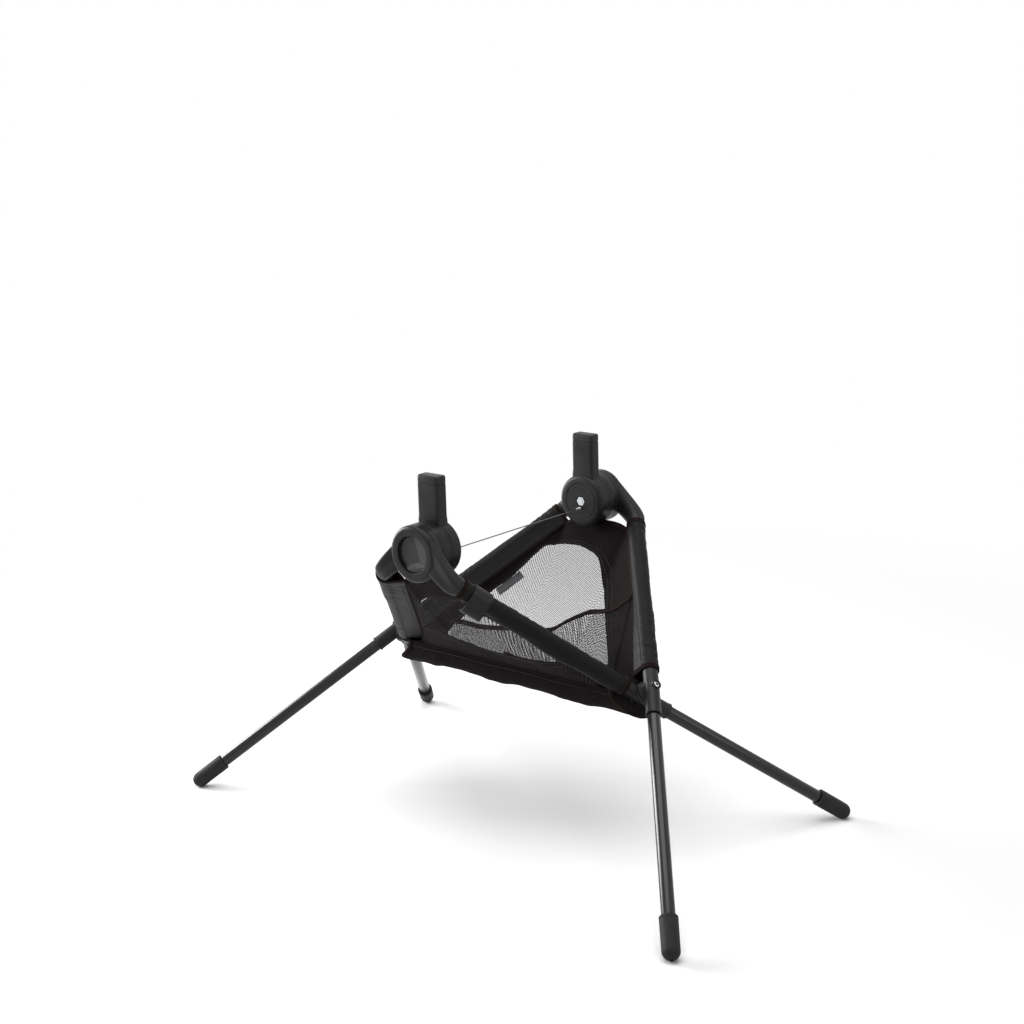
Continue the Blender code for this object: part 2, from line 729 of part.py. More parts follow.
def release_button(side_name, matrix):
    """Push button with a dished face: a finger ledge across its foot and a bent right-hand facet."""
    name = f"{side_name}_release_button"
    radius = RECESS_DIAMETER / 2 - GAP
    top, bottom = BUTTON_SINK, BUTTON_SINK + BUTTON_THICKNESS
    edge = BUTTON_THICKNESS / 5
    profile = [(0, top), (radius - edge, top), (radius, top + edge), (radius, bottom), (0, bottom)]
    item = add_object(name, turned(profile, ROUND, name), "button", matrix)
    side = SIDES[side_name]
    wide = RECESS_DIAMETER
    for label, offset, turn in (("ledge", -0.34, 24), ("facet", 0.26, 14)):
        block = bmesh.new()
        bmesh.ops.create_cube(block, size=wide)
        tool = cutter(f"{name}_{label}", mesh_from(block, name + label))
        lift = Matrix.Translation((0, -side * (wide / 2), 0))
        if label == "ledge":
            hinge = hub_point(side, top) + Vector((0, 0, offset * RECESS_DIAMETER))
            tilt = Matrix.Rotation(math.radians(turn) * -side, 4, "X")
            shift = Matrix.Translation((0, 0, -wide / 2))
        else:
            hinge = hub_point(side, top) + Vector((offset * RECESS_DIAMETER, 0, 0))
            tilt = Matrix.Rotation(math.radians(turn) * -side, 4, "Z")
            shift = Matrix.Translation((wide / 2, 0, 0))
        tool.matrix_world = Matrix.Translation(hinge) @ tilt @ shift @ lift.inverted()
        boolean(item, tool, "DIFFERENCE")
    return item


def button_spring(side_name, matrix):
    """Coil spring that pushes the button out."""
    name = f"{side_name}_button_spring"
    wire = SPRING_WIRE / 2
    low = BUTTON_SINK + BUTTON_THICKNESS + GAP + wire
    high = RECESS_DEPTH + SPRING_POCKET_DEPTH - GAP - wire
    mean = (SPRING_DIAMETER - SPRING_WIRE) / 2
    steps = round(SPRING_TURNS * 10)
    centres = []
    for step in range(steps + 1):
        angle = math.tau * SPRING_TURNS * step / steps
        height = low + (high - low) * step / steps
        centres.append(Vector((mean * math.cos(angle), mean * math.sin(angle), height)))
    rings = []
    for index, centre in enumerate(centres):
        before, after = centres[max(index - 1, 0)], centres[min(index + 1, steps)]
        rings.append(ring(centre, after - before, wire, 5, (0, 0, 1)))
    add_object(name, lofted(rings, name), "steel", matrix)


def sleeve_profile(radius, with_tail):
    """Cross-section in the plane square to the pole; local X points into the panel.

    The cloth lies round the tube and closes into a flat tail, which is sewn to the panel.
    """
    half = [(radius * math.cos(a), radius * math.sin(a)) for a in spread(0, math.pi, FINE // 2)]
    if with_tail:
        thick = TAIL_THICKNESS / 2
        half[0] = (TAIL_LENGTH, 0.0)
        half[1] = (TAIL_LENGTH - thick / 2, thick)
        half[2] = (radius + 2 * thick, 1.6 * thick)
    return half + [(x, -y) for x, y in half[-2:0:-1]]


def sleeve(name, pole):
    """Fabric wrapped round the upper tube, with its sewn tail towards the panel."""
    bore = SOCKET_DIAMETER / 2 + GAP
    outer, inner = [], []
    for along in (SLEEVE_START, pole.arm_end - GAP):
        matrix = frame_matrix(pole.upper(along), pole.up, pole.inward)
        outer.append([matrix @ Vector((x, y, 0)) for x, y in sleeve_profile(bore + SLEEVE_WALL, True)])
        inner.append([matrix @ Vector((x, y, 0)) for x, y in sleeve_profile(bore, False)])
    add_object(name, hollow_loft(outer, inner, name), "sleeve")


def panel_line(side, x):
    """Top edge of a panel at x: along the sleeves' tails, and level between the arms."""
    pole = Pole(side, FRONT)
    tail = pole.inward * (TAIL_LENGTH + GAP)
    low, high = pole.upper(SLEEVE_START) + tail, pole.upper(pole.arm_end - PANEL_BELOW_ARM) + tail
    share = (low.x - abs(x)) / (low.x - high.x)
    point = low.lerp(high, min(max(share, 0.0), 1.0))
    return Vector((x, point.y, point.z))


def panel_point(side, x, down):
    """Point of a panel: down is 0 at its top edge and 1 at its seam with the basket floor."""
    top, seam = panel_line(side, x), panel_seam(side, x)
    bulge = math.sin(math.pi * down) * 0.05 * (top - seam).length
    return top.lerp(seam, down) + Vector((0, side * bulge, -bulge)) * 0.5


def panel_seam(side, x):
    """Lower edge of a panel at x, just above the rim of the basket floor."""
    return Vector((x, side * (SEAM_Y + GAP), SEAM_HEIGHT + PANEL_THICKNESS + 2 * GAP))


def panel_inside(side, x):
    """Direction square to a panel at x, towards the inside of the sling."""
    fall = panel_seam(side, x) - panel_line(side, x)
    return Vector((0, side * fall.z, -side * fall.y)).normalized()


def panel_half_length(side):
    pole = Pole(side, FRONT)
    return (pole.upper(SLEEVE_START) + pole.inward * (TAIL_LENGTH + GAP)).x - PANEL_END


def panel(name, side):
    """Side of the sling, a thin sheet between the two sleeves and the floor's seam."""
    reach = panel_half_length(side)
    columns, rows = 20, 6
    low, high = [], []
    for row in range(rows + 1):
        low_row, high_row = [], []
        for column in range(columns + 1):
            x = reach * (2 * column / columns - 1)
            point = panel_point(side, x, row / rows)
            low_row.append(point)
            high_row.append(point + panel_inside(side, x) * PANEL_THICKNESS)
        low.append(low_row)
        high.append(high_row)
    return add_object(name, slab(low, high, name), "mesh")


def basket_floor():
    """Trough of solid cloth under the panels, hanging in soft folds."""
    columns, rows = 20, 6
    low, high = [], []
    for column in range(columns + 1):
        x = FLOOR_HALF_LENGTH * (2 * column / columns - 1)
        fold = FLOOR_FOLD_DEPTH * math.sin(math.pi * FLOOR_FOLDS * (x / FLOOR_HALF_LENGTH + 1))
        outer_row, inner_row = [], []
        for row in range(rows + 1):
            angle = math.pi * row / rows
            y = -SEAM_Y * math.cos(angle)
            drop = (FLOOR_SAG + fold) * math.sin(angle) ** 0.8
            point = Vector((x, y, SEAM_HEIGHT - drop))
            towards = Vector((0, -y, FLOOR_SAG * 0.8)).normalized()
            outer_row.append(point)
            inner_row.append(point + towards * PANEL_THICKNESS)
        low.append(outer_row)
        high.append(inner_row)
    return add_object("basket_floor", slab(low, high, "basket_floor"), "cloth")


def inner_pocket():
    """Shallow mesh pocket inside the far panel, with its top edge standing off."""
    columns, rows = 14, 4
    low, high = [], []
    away = Vector((0, -FAR, 1)).normalized()
    for row in range(rows + 1):
        rise = row / rows
        low_row, high_row = [], []
        for column in range(columns + 1):
            share = 2 * column / columns - 1
            x = POCKET_HALF_LENGTH * share
            edge = (POCKET_HEIGHT + POCKET_SAG * share * share) * rise
            seam = panel_point(FAR, x, 1.0)
            span = (panel_line(FAR, x) - seam).length
            point = panel_point(FAR, x, 0.94 - edge / span)
            stand = PANEL_THICKNESS + POCKET_CLEARANCE + POCKET_STAND_OFF * rise * (1 - share * share)
            low_row.append(point + away * stand)
            high_row.append(point + away * (stand + PANEL_THICKNESS))
        low.append(low_row)
        high.append(high_row)
    return add_object("inner_pocket", slab(low, high, "inner_pocket"), "mesh")


def surface_frame(side, x, height):
    """Matrix on the panel's inner face at x and a height, its Z pointing away from the panel."""
    down = next(k / 200 for k in range(201) if panel_point(side, x, k / 200).z <= height)
    point = panel_point(side, x, down)
    below = panel_point(side, x, min(down + 0.02, 1.0))
    beside = panel_point(side, x + 0.004, down)
    normal = (below - point).cross(beside - point).normalized()
    if normal.y * side > 0:
        normal.negate()
    return point, normal, (beside - point).normalized()


def label_tab():
    """Blank cloth tab sewn inside the far panel, along its back border."""
    point, normal, along = surface_frame(FAR, TAB_X, TAB_HEIGHT)
    lift = PANEL_THICKNESS + 2 * GAP
    matrix = frame_matrix(point + normal * lift, normal, Pole(FAR, BACK).up)
    half, width = TAB_LENGTH / 2, TAB_WIDTH / 2
    rings = [
        [matrix @ Vector((x, y, z)) for x, y in ((half, width), (-half, width), (-half, -width), (half, -width))]
        for z in (GAP, GAP + TAB_THICKNESS)
    ]
    add_object("blank_label_tab", lofted(rings, "blank_label_tab"), "label")


def pull_loop():
    """Cord loop sewn to the outside of the near panel, above the floor's seam."""
    foot = panel_point(NEAR, LOOP_X, 0.78)
    head = panel_point(NEAR, LOOP_X, 0.70)
    rise = (head - foot).normalized()
    out = rise.cross(Vector((1, 0, 0))).normalized()
    if out.y > 0:
        out.negate()
    centre = foot + out * (LOOP_CORD / 2 + GAP)
    steps = 16
    rings = []
    path = []
    for step in range(steps + 1):
        angle = math.radians(-60 + 300 * step / steps)
        across = LOOP_WIDTH / 2 * math.cos(angle)
        upward = LOOP_HEIGHT / 2 * (1 + math.sin(angle))
        path.append(centre + Vector((1, 0, 0)) * across + rise * upward)
    for index, point in enumerate(path):
        before, after = path[max(index - 1, 0)], path[min(index + 1, steps)]
        rings.append(ring(point, after - before, LOOP_CORD / 2, 8, out))
    add_object("pull_loop", lofted(rings, "pull_loop"), "cloth")


def storage_clip():
    """Clip that hooks over the near front sleeve and hangs an open jaw under it."""
    pole = Pole(NEAR, FRONT)
    below = -Vector((math.cos(pole.lean), 0, math.sin(pole.lean)))
    beside = pole.up.cross(below).normalized()
    towards = below * math.cos(CLIP_TURN) + beside * math.sin(CLIP_TURN)
    side = pole.up.cross(towards).normalized()
    outline = clip_side(CLIP_WALL / 2) + clip_side(-CLIP_WALL / 2)[::-1]
    rings = []
    middle = pole.arm_end - CLIP_BELOW_ARM
    for along in (middle - CLIP_LENGTH / 2, middle + CLIP_LENGTH / 2):
        origin = pole.upper(along)
        rings.append([origin + towards * x + side * y for x, y in outline])
    add_object("storage_clip", lofted(rings, "storage_clip"), "matte_plastic")


def clip_side(shift):
    """One side of the clip's wall: an arc over the sleeve, then the jaw's arc below it."""
    hook = SOCKET_DIAMETER / 2 + GAP + SLEEVE_WALL + GAP + CLIP_WALL / 2 + shift
    jaw = JAW_DIAMETER / 2 + CLIP_WALL / 2 + shift
    meet = math.acos((hook - jaw) / JAW_DROP)
    points = [(hook * math.cos(a), hook * math.sin(a)) for a in spread(CLIP_HOOK_END, meet, 12)]
    points += [(JAW_DROP + jaw * math.cos(a), jaw * math.sin(a)) for a in spread(meet, JAW_END, 14)]
    return points


def spread(start, end, count):
    return [start + (end - start) * k / count for k in range(count + 1)]


def cable_parts():
    """Steel cable from hub to hub, each end held in a ferrule on the drum."""
    drum_end = FRONT_DISC + BACK_DISC + 2 * GAP + DRUM_LENGTH
    half = HUB_FACE_Y - drum_end
    height = HUB_HEIGHT - CABLE_DROP
    outer, wire = FERRULE_DIAMETER / 2, CABLE_DIAMETER / 2
    for name, side in SIDES.items():
        bore = wire + GAP
        profile = [(0, 0), (outer, 0), (outer, FERRULE_LENGTH), (bore, FERRULE_LENGTH), (bore, GAP * 2), (0, GAP * 2)]
        start = Vector((0, side * (half - GAP), height))
        matrix = frame_matrix(start, (0, -side, 0), (1, 0, 0))
        add_object(f"{name}_cable_ferrule", turned(profile, FINE // 2, "ferrule"), "steel", matrix)
    reach = half - 4 * GAP
    rings = [ring(Vector((0, y, height)), (0, 1, 0), wire, 8, (1, 0, 0)) for y in (-reach, reach)]
    add_object("spreader_cable", lofted(rings, "spreader_cable"), "steel")


def footprint_shift():
    """Distance from the hubs' middle to the footprint's middle: the outer poles reach further."""
    outer, inner = Pole(FAR, FRONT), Pole(NEAR, FRONT)
    return (abs(outer.leg(outer.leg_length).y) - abs(inner.leg(inner.leg_length).y)) / 2


def empty(name, place, parent=None):
    item = bpy.data.objects.new(name, None)
    bpy.context.collection.objects.link(item)
    item.location = place
    attach(item, parent)
    return item


def attach(item, parent):
    """Parent an item and leave it where it is."""
    if parent:
        bpy.context.view_layer.update()
        item.parent = parent
        item.matrix_parent_inverse = parent.matrix_world.inverted()


def gather(stand):
    """Hang every piece from the empty of the body that it moves with."""
    axis = Vector((0, 0, HUB_HEIGHT))
    bodies = {name: empty(f"{name}_frame", axis, stand) for name in ENDS}
    bodies["far_hub"] = empty("far_hub", axis, bodies["front"])
    bodies["sling"] = empty("sling", (0, 0, SEAM_HEIGHT), stand)
    for name, side in SIDES.items():
        bodies[f"{name}_button"] = empty(f"{name}_button", hub_point(side, BUTTON_SINK), bodies["front"])
    for item in list(bpy.data.objects):
        if item.type == "MESH":
            attach(item, bodies.get(body_of(item.name), stand))


def body_of(name):
    """Name of the moving body that a piece belongs to; the near hub stays with the stand."""
    side, _, rest = name.partition("_")
    if "release_button" in name:
        return f"{side}_button"
    if "button_spring" in name or name == "storage_clip":
        return "front"
    for end in ENDS:
        if side == end or rest.startswith(end):
            return end
    if side == "far" and (rest.startswith("hub") or rest.startswith("cable")):
        return "far_hub"
    if rest == "panel" or name in ("basket_floor", "inner_pocket", "blank_label_tab", "pull_loop"):
        return "sling"
    return "stand"


def main():
    clear_scene()
    for side_name, side in SIDES.items():
        for end_name, end in ENDS.items():
            pole = Pole(side, end)
            name = f"{side_name}_{end_name}"
            arm(f"{name}_arm", pole)
            upper_tube(f"{name}_upper_tube", pole)
            sleeve(f"{name}_sleeve", pole)
            socket(f"{name}_socket", pole)
            leg_tube(f"{name}_leg_tube", pole)
            foot_cap(f"{name}_foot_cap", pole)
        hub_parts(side_name)
        panel(f"{side_name}_panel", side)
    for end_name in ENDS:
        pivot_parts(end_name)
    basket_floor()
    inner_pocket()
    label_tab()
    pull_loop()
    storage_clip()
    cable_parts()
    stand = empty("stand", (0, 0, 0))
    gather(stand)
    stand.location.y = footprint_shift()


main()
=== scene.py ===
"""Bassinet stand: fine shapes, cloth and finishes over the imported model.

Metres, +Z up, +X is the front and -Y the near side. Every size that places a piece repeats the
one in the model's own source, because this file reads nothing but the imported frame.
"""

import functools
import math
import bmesh
import bpy
from mathutils import Matrix, Vector, noise


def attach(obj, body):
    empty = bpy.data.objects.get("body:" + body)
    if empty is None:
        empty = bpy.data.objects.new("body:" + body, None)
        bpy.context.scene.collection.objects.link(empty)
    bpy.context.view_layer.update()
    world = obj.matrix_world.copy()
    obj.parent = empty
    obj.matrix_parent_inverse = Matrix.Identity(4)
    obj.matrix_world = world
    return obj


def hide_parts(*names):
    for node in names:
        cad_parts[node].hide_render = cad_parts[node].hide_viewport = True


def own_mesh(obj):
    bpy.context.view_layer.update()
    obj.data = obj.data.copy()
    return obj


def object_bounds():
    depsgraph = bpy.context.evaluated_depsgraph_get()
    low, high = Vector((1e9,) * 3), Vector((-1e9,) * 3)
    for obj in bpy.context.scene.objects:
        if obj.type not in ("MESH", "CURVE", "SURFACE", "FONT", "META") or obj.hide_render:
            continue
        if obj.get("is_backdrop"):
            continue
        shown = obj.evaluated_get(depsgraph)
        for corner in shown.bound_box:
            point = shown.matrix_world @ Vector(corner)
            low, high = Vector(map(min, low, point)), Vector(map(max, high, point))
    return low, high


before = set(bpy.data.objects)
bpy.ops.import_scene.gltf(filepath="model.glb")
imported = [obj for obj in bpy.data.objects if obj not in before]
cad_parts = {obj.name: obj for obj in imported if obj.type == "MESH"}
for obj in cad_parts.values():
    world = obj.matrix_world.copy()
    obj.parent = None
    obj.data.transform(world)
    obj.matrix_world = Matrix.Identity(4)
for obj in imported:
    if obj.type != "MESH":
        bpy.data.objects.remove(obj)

bl_info = {
    "name": "Bassinet Stand",
    "version": (1, 0, 0),
    "blender": (4, 5, 0),
    "location": "3D View > Sidebar > Stand",
    "description": "Dresses the packed bassinet stand: tubes, mouldings, sling and stage",
    "category": "Object",
}

CAD_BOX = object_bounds()

NEAR, FAR = -1, 1
FRONT, BACK = 1, -1
SIDES = {"near": NEAR, "far": FAR}
ENDS = {"front": FRONT, "back": BACK}

# Stance
HUB_HEIGHT = 0.4537
HUB_FACE_Y = 0.2260
PIVOT_X = 0.2408
PIVOT_HEIGHT = 0.2340
POLE_SPLAY = math.radians(40.0)
POLE_SPACING = 0.0250
ARM_OFFSET = 0.0282
ARM_LENGTH = 0.1178
PIVOT_REACH = math.hypot(PIVOT_X, HUB_HEIGHT - PIVOT_HEIGHT)
LEG_TILT = math.atan2(PIVOT_X, HUB_HEIGHT - PIVOT_HEIGHT) - math.asin(ARM_OFFSET / PIVOT_REACH)
GAP = 0.0003

# Hub stack, from its outer face inwards
FRONT_DISC, BACK_DISC, DRUM_LENGTH = 0.0200, 0.0167, 0.0257
DRUM_START = FRONT_DISC + BACK_DISC + 2 * GAP
DRUM_END = DRUM_START + DRUM_LENGTH
BOLT_BORE = 0.0043

# Poles
TUBE_WALL = 0.0015
TUBE_SEAT = 0.0380
SOCKET_REACH = 0.0470
COLLAR_HEIGHT = 0.0022
COVER_HEIGHT = 0.0040
FOOT_CENTRE = 0.01205
FOOT_RADIUS = 0.0249 / 2
ARM_TIP_RADIUS = 0.0262 / 2

# Sling
SLEEVE_START = 0.0300
SLEEVE_OVER_ARM = 0.0160
SLEEVE_RADIUS = 0.0130
CLIP_FROM_ARM_END = 0.0150
SEAMS = {NEAR: (0.0360, 0.2412), FAR: (0.0300, 0.2200)}
TAILS = {BACK: (0.0340, 0.0310, 0.0278), FRONT: (0.0260, 0.0150, 0.0140)}
TAIL_HEAD = 0.985
THREAD_RADIUS = 0.00032

# Camera: solved from the crossing lines of the legs, feet and hubs
FOCAL_PIXELS = 1608.47
IMAGE_SIZE = 1024
SENSOR = 36.0
PRINCIPAL = (505.2, 511.5)
AZIMUTH, ELEVATION, ROLL = 0.70618695, 0.23860137, -0.02852637
CAMERA_PLACE = Vector((1.51539988, -1.79731909, 1.04268678))

# Stage
FLOOR_HALF, FLOOR_DROP = 9.0, 0.0004
WORLD_LIGHT = 0.36
LAMPS = (  # name, place, aim, size, watts
    ("overhead_softbox", (0.1, -0.1, 2.9), (0, 0, 0.2), 2.6, 66.0),
    ("left_softbox", (-2.4, -0.6, 0.9), (0, 0, 0.35), 1.4, 105.0),
    ("right_softbox", (2.6, 0.4, 1.3), (0, 0, 0.3), 1.2, 8.0),
)


# ---------------------------------------------------------------- sizes and colours


def length(name, description, default):
    return bpy.props.FloatProperty(
        name=name, description=description, default=default, min=0.0,
        subtype="DISTANCE", unit="LENGTH", precision=4,
    )


def colour(name, description, default):
    return bpy.props.FloatVectorProperty(
        name=name, description=description, default=default, size=3, min=0.0, max=1.0, subtype="COLOR"
    )


class StandSizes(bpy.types.PropertyGroup):
    """Sizes of the details that dress the stand."""

    leg: length("Leg tube", "Outside diameter of the leg tubes", 0.0190)
    cap: length("Foot cap", "Outside diameter of the foot caps at their top", 0.0258)
    cap_length: length("Cap length", "Length of the foot caps", 0.0600)
    socket: length("Socket", "Outside diameter of the pivot sockets", 0.0230)
    hub: length("Hub", "Outside diameter of the hub discs", 0.0830)
    recess: length("Recess", "Diameter of the recess that the button sits in", 0.0540)
    binding: length("Binding", "Width of the tape that binds the cloth's edges", 0.0080)
    window_pitch: length("Net pitch", "Distance between the holes of the open net", 0.0027)
    facing_pitch: length("Facing pitch", "Distance between the holes of the near panel's ribbed net", 0.0040)
    weave: length("Weave", "Distance between the threads of the plain cloth", 0.0007)
    stitch: length("Stitch", "Length of one stitch", 0.0024)
    wrinkle: length("Wrinkle", "Depth of the wrinkles in the sleeves", 0.0016)


class StandColours(bpy.types.PropertyGroup):
    """Colours of the stand's finishes."""

    paint: colour("Tube paint", "Gloss paint of the leg tubes", (0.0065, 0.0065, 0.0070))
    moulding: colour("Moulding", "Fine-grained plastic of hubs, arms and sockets", (0.0124, 0.0120, 0.0134))
    button: colour("Button", "Polished plastic of the release buttons", (0.040, 0.040, 0.042))
    rubber: colour("Rubber", "Foot caps", (0.0200, 0.0196, 0.0212))
    sleeve: colour("Sleeve cloth", "Coated cloth of the sleeves", (0.0082, 0.0076, 0.0083))
    # Lighter copy of the sleeve cloth for the near back sleeve: painted light, where that sleeve catches the light
    # from the left
    painted_light_sleeve: colour("Greyer sleeve", "Coated cloth of the near back sleeve", (0.0370, 0.0335, 0.0364))
    cloth: colour("Sling cloth", "Woven cloth of the floor and borders", (0.0125, 0.0096, 0.0099))
    net: colour("Net", "Nets of the windows and the pocket", (0.0150, 0.0130, 0.0132))
    binding: colour("Binding tape", "Tape along the cloth's edges", (0.0125, 0.0078, 0.0074))
    tab: colour("Blank tab", "Woven tab inside the far panel", (0.058, 0.055, 0.062))
    steel: colour("Steel", "Screws, nuts and ferrules", (0.62, 0.63, 0.65))


def sizes():
    return bpy.context.scene.stand_sizes


def colours():
    return bpy.context.scene.stand_colours


# ---------------------------------------------------------------- the stand's geometry


class Pole:
    """Centreline of one pole; it hangs from one side's hub and stands on the other side."""

    def __init__(self, side, end):
        self.side, self.end = side, end
        self.layer = 1 if side == FAR else -1
        self.normal = Vector((end * math.cos(LEG_TILT), 0, math.sin(LEG_TILT)))
        middle = Vector((end * PIVOT_X, 0, PIVOT_HEIGHT))
        self.pivot = middle + self.normal * self.layer * POLE_SPACING / 2
        self.down = self.direction(LEG_TILT)
        reach = math.hypot(self.pivot.x, HUB_HEIGHT - self.pivot.z)
        self.lean = math.atan2(abs(self.pivot.x), HUB_HEIGHT - self.pivot.z) - math.asin(ARM_OFFSET / reach)
        self.up = -self.direction(self.lean)
        self.arm_end = math.sqrt(reach**2 - ARM_OFFSET**2) / math.cos(POLE_SPLAY) - ARM_LENGTH
        across = Vector((-end, 0, 0))
        self.inward = (across - self.up * across.dot(self.up)).normalized()
        self.leg_length = (self.pivot.z - FOOT_CENTRE) / -self.down.z

    def direction(self, lean):
        flat = Vector((self.end * math.sin(lean), 0, -math.cos(lean)))
        return flat * math.cos(POLE_SPLAY) - Vector((0, self.side, 0)) * math.sin(POLE_SPLAY)

    def upper(self, distance):
        return self.pivot + self.up * distance

    def leg(self, distance):
        return self.pivot + self.down * distance


def footprint_shift():
    """Distance from the hubs' middle to the footprint's middle."""
    outer, inner = Pole(FAR, FRONT), Pole(NEAR, FRONT)
    return (abs(outer.leg(outer.leg_length).y) - abs(inner.leg(inner.leg_length).y)) / 2


SHIFT = Matrix.Translation((0, footprint_shift(), 0))


def poles():
    """Name, body and centreline of each pole."""
    for side_name, side in SIDES.items():
        for end_name, end in ENDS.items():
            yield f"{side_name}_{end_name}", f"{end_name}_frame", Pole(side, end)


def hub_point(side, depth):
    return Vector((0, side * (HUB_FACE_Y - depth), HUB_HEIGHT))


def frame_matrix(origin, axis, across):
    """Matrix whose local Z runs along axis and whose local X is as near to across as it can be."""
    z = Vector(axis).normalized()
    x = (Vector(across) - z * Vector(across).dot(z)).normalized()
    matrix = Matrix((x, z.cross(x), z)).transposed().to_4x4()
    matrix.translation = Vector(origin)
    return matrix


def hub_matrix(side, depth=0.0):
    """Matrix on the hubs' axis whose Z runs inwards from this depth below a hub's outer face."""
    return frame_matrix(hub_point(side, depth), (0, -side, 0), (1, 0, 0))


def inwards(side):
    """Way into the sling from one of its panels."""
    return Vector((0, -side, 0.85)).normalized()


def spread(start, end, count):
    return [start + (end - start) * k / count for k in range(count + 1)]


def smooth(value, low, high):
    """0 at low, 1 at high, eased between them."""
    share = min(max((value - low) / (high - low), 0.0), 1.0)
    return share * share * (3 - 2 * share)


def circle(matrix, radius, count, height=0.0):
    """Points round the matrix's Z."""
    angles = [math.tau * k / count for k in range(count)]
    return [matrix @ Vector((radius * math.cos(a), radius * math.sin(a), height)) for a in angles]


def arc(centre, radius, start, end, steps):
    """Points of an arc in a profile; angles in degrees from the radius axis."""
    angles = [math.radians(a) for a in spread(start, end, steps)]
    return [(centre[0] + radius * math.cos(a), centre[1] + radius * math.sin(a)) for a in angles]


def running(points):
    """Distance travelled at each point of a path."""
    lengths = [0.0]
    for a, b in zip(points, points[1:]):
        lengths.append(lengths[-1] + (b - a).length)
    return lengths


def through(points, count, closed=False):
    """Smooth curve through points, resampled to evenly spaced ones."""
    points = [Vector(p) for p in points]
    last, fine, dense = len(points), 24, []
    for i in range(last if closed else last - 1):
        around = [(i + k) % last if closed else min(max(i + k, 0), last - 1) for k in (-1, 0, 1, 2)]
        a, b, c, d = (points[k] for k in around)
        for t in (step / fine for step in range(fine)):
            dense.append(0.5 * (
                2 * b + (c - a) * t + (2 * a - 5 * b + 4 * c - d) * t * t + (3 * b - a - 3 * c + d) * t**3
            ))
    dense.append(points[0] if closed else points[-1])
    lengths = running(dense)
    wanted = [lengths[-1] * k / (count if closed else count - 1) for k in range(count)]
    result, index = [], 0
    for want in wanted:
        while index < len(lengths) - 2 and lengths[index + 1] < want:
            index += 1
        gap = lengths[index + 1] - lengths[index] or 1.0
        result.append(dense[index].lerp(dense[index + 1], (want - lengths[index]) / gap))
    return result


# ---------------------------------------------------------------- mesh building


class Shape:
    """Points, faces, cloth coordinates and finish numbers gathered for one piece."""

    def __init__(self):
        self.points, self.faces, self.cloth, self.finish = [], [], [], []

    def face(self, corners, cloth, finish):
        self.faces.append(corners)
        self.cloth.append(cloth)
        self.finish.append(finish)

    def skin(self, rows, closed=False, finish=0, uv=None):
        """Skin through rows of points; uv gives a point's cloth coordinates from its row and column."""
        base, width = len(self.points), len(rows[0])
        for row in rows:
            self.points.extend(Vector(p) for p in row)
        for i in range(len(rows) - 1):
            for j in range(width if closed else width - 1):
                corner, k = base + i * width, (j + 1) % width
                ends = ((i, j), (i, j + 1), (i + 1, j + 1), (i + 1, j))
                self.face((corner + j, corner + k, corner + width + k, corner + width + j),
                          [uv(*end) for end in ends] if uv else [(0, 0)] * 4, finish)

    def lids(self, *rings, finish=0):
        """A flat face on each ring."""
        for ring in rings:
            base = len(self.points)
            self.points.extend(Vector(p) for p in ring)
            self.face(tuple(range(base, base + len(ring))), [(0, 0)] * len(ring), finish)

    def lathe(self, profile, segments, matrix=Matrix()):
        """Body turned about the matrix's Z from (radius, height) points, closed unless it ends on the axis."""
        loop = [*profile, profile[0]] if profile[-1][0] > 0 else profile
        self.skin([circle(matrix, radius, segments, height) for radius, height in loop], True)

    def tube(self, path, radius, segments, across, finish=0):
        """Round tube along a path of points."""
        rows = []
        for index, point in enumerate(path):
            before, after = path[max(index - 1, 0)], path[min(index + 1, len(path) - 1)]
            rows.append(circle(frame_matrix(point, (after - before).normalized(), across), radius, segments))
        self.skin(rows, True, finish)
        self.lids(rows[0], rows[-1], finish=finish)

    def stitches(self, path, lift, pitch=0.0032, finish=2):
        """Row of short raised threads along a path; lift is the way that they stand out."""
        steps = max(int(sum((b - a).length for a, b in zip(path, path[1:])) / pitch), 1)
        points = through(path, steps * 2 + 1)
        for k in range(steps):
            start = points[2 * k]
            stitch = (points[2 * k + 1] - start).normalized() * sizes().stitch
            end = start + stitch
            out = lift(k / steps) if callable(lift) else lift
            rise = out * THREAD_RADIUS * 0.9
            thread = [start, start + stitch * 0.2 + rise, (start + end) / 2 + rise, end - stitch * 0.2 + rise, end]
            self.tube(thread, THREAD_RADIUS, 5, out, finish)


def placed(name, data):
    """New object in the scene."""
    item = bpy.data.objects.new(name, data)
    bpy.context.collection.objects.link(item)
    return item


def build(name, shape, finishes, body, node, matrix=Matrix(), angle=35, weld=2e-6, solid=True, bevel=0.0):
    """Make the piece, let it ride on its body and hide the node that it stands for."""
    bm = bmesh.new()
    layer = bm.loops.layers.uv.new("Cloth")
    points = [bm.verts.new(p) for p in shape.points]
    for corners, cloth, finish_number in zip(shape.faces, shape.cloth, shape.finish):
        face = bm.faces.new([points[i] for i in corners])
        face.material_index = finish_number
        for loop, uv in zip(face.loops, cloth):
            loop[layer].uv = uv
    bmesh.ops.remove_doubles(bm, verts=bm.verts, dist=weld)
    bmesh.ops.dissolve_degenerate(bm, edges=bm.edges, dist=1e-7)
    if solid:
        bmesh.ops.recalc_face_normals(bm, faces=bm.faces)
    mesh = bpy.data.meshes.new(name)
    bm.to_mesh(mesh)
    bm.free()
    for each in finishes:
        mesh.materials.append(finish(each))
    mesh.shade_smooth()
    mesh.set_sharp_from_angle(angle=math.radians(angle))
    item = placed(name, mesh)
    item.matrix_world = SHIFT @ matrix
    bpy.context.view_layer.update()
    if bevel:
        round_edges(item, bevel)
    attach(item, body)
    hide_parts(node)
    return item


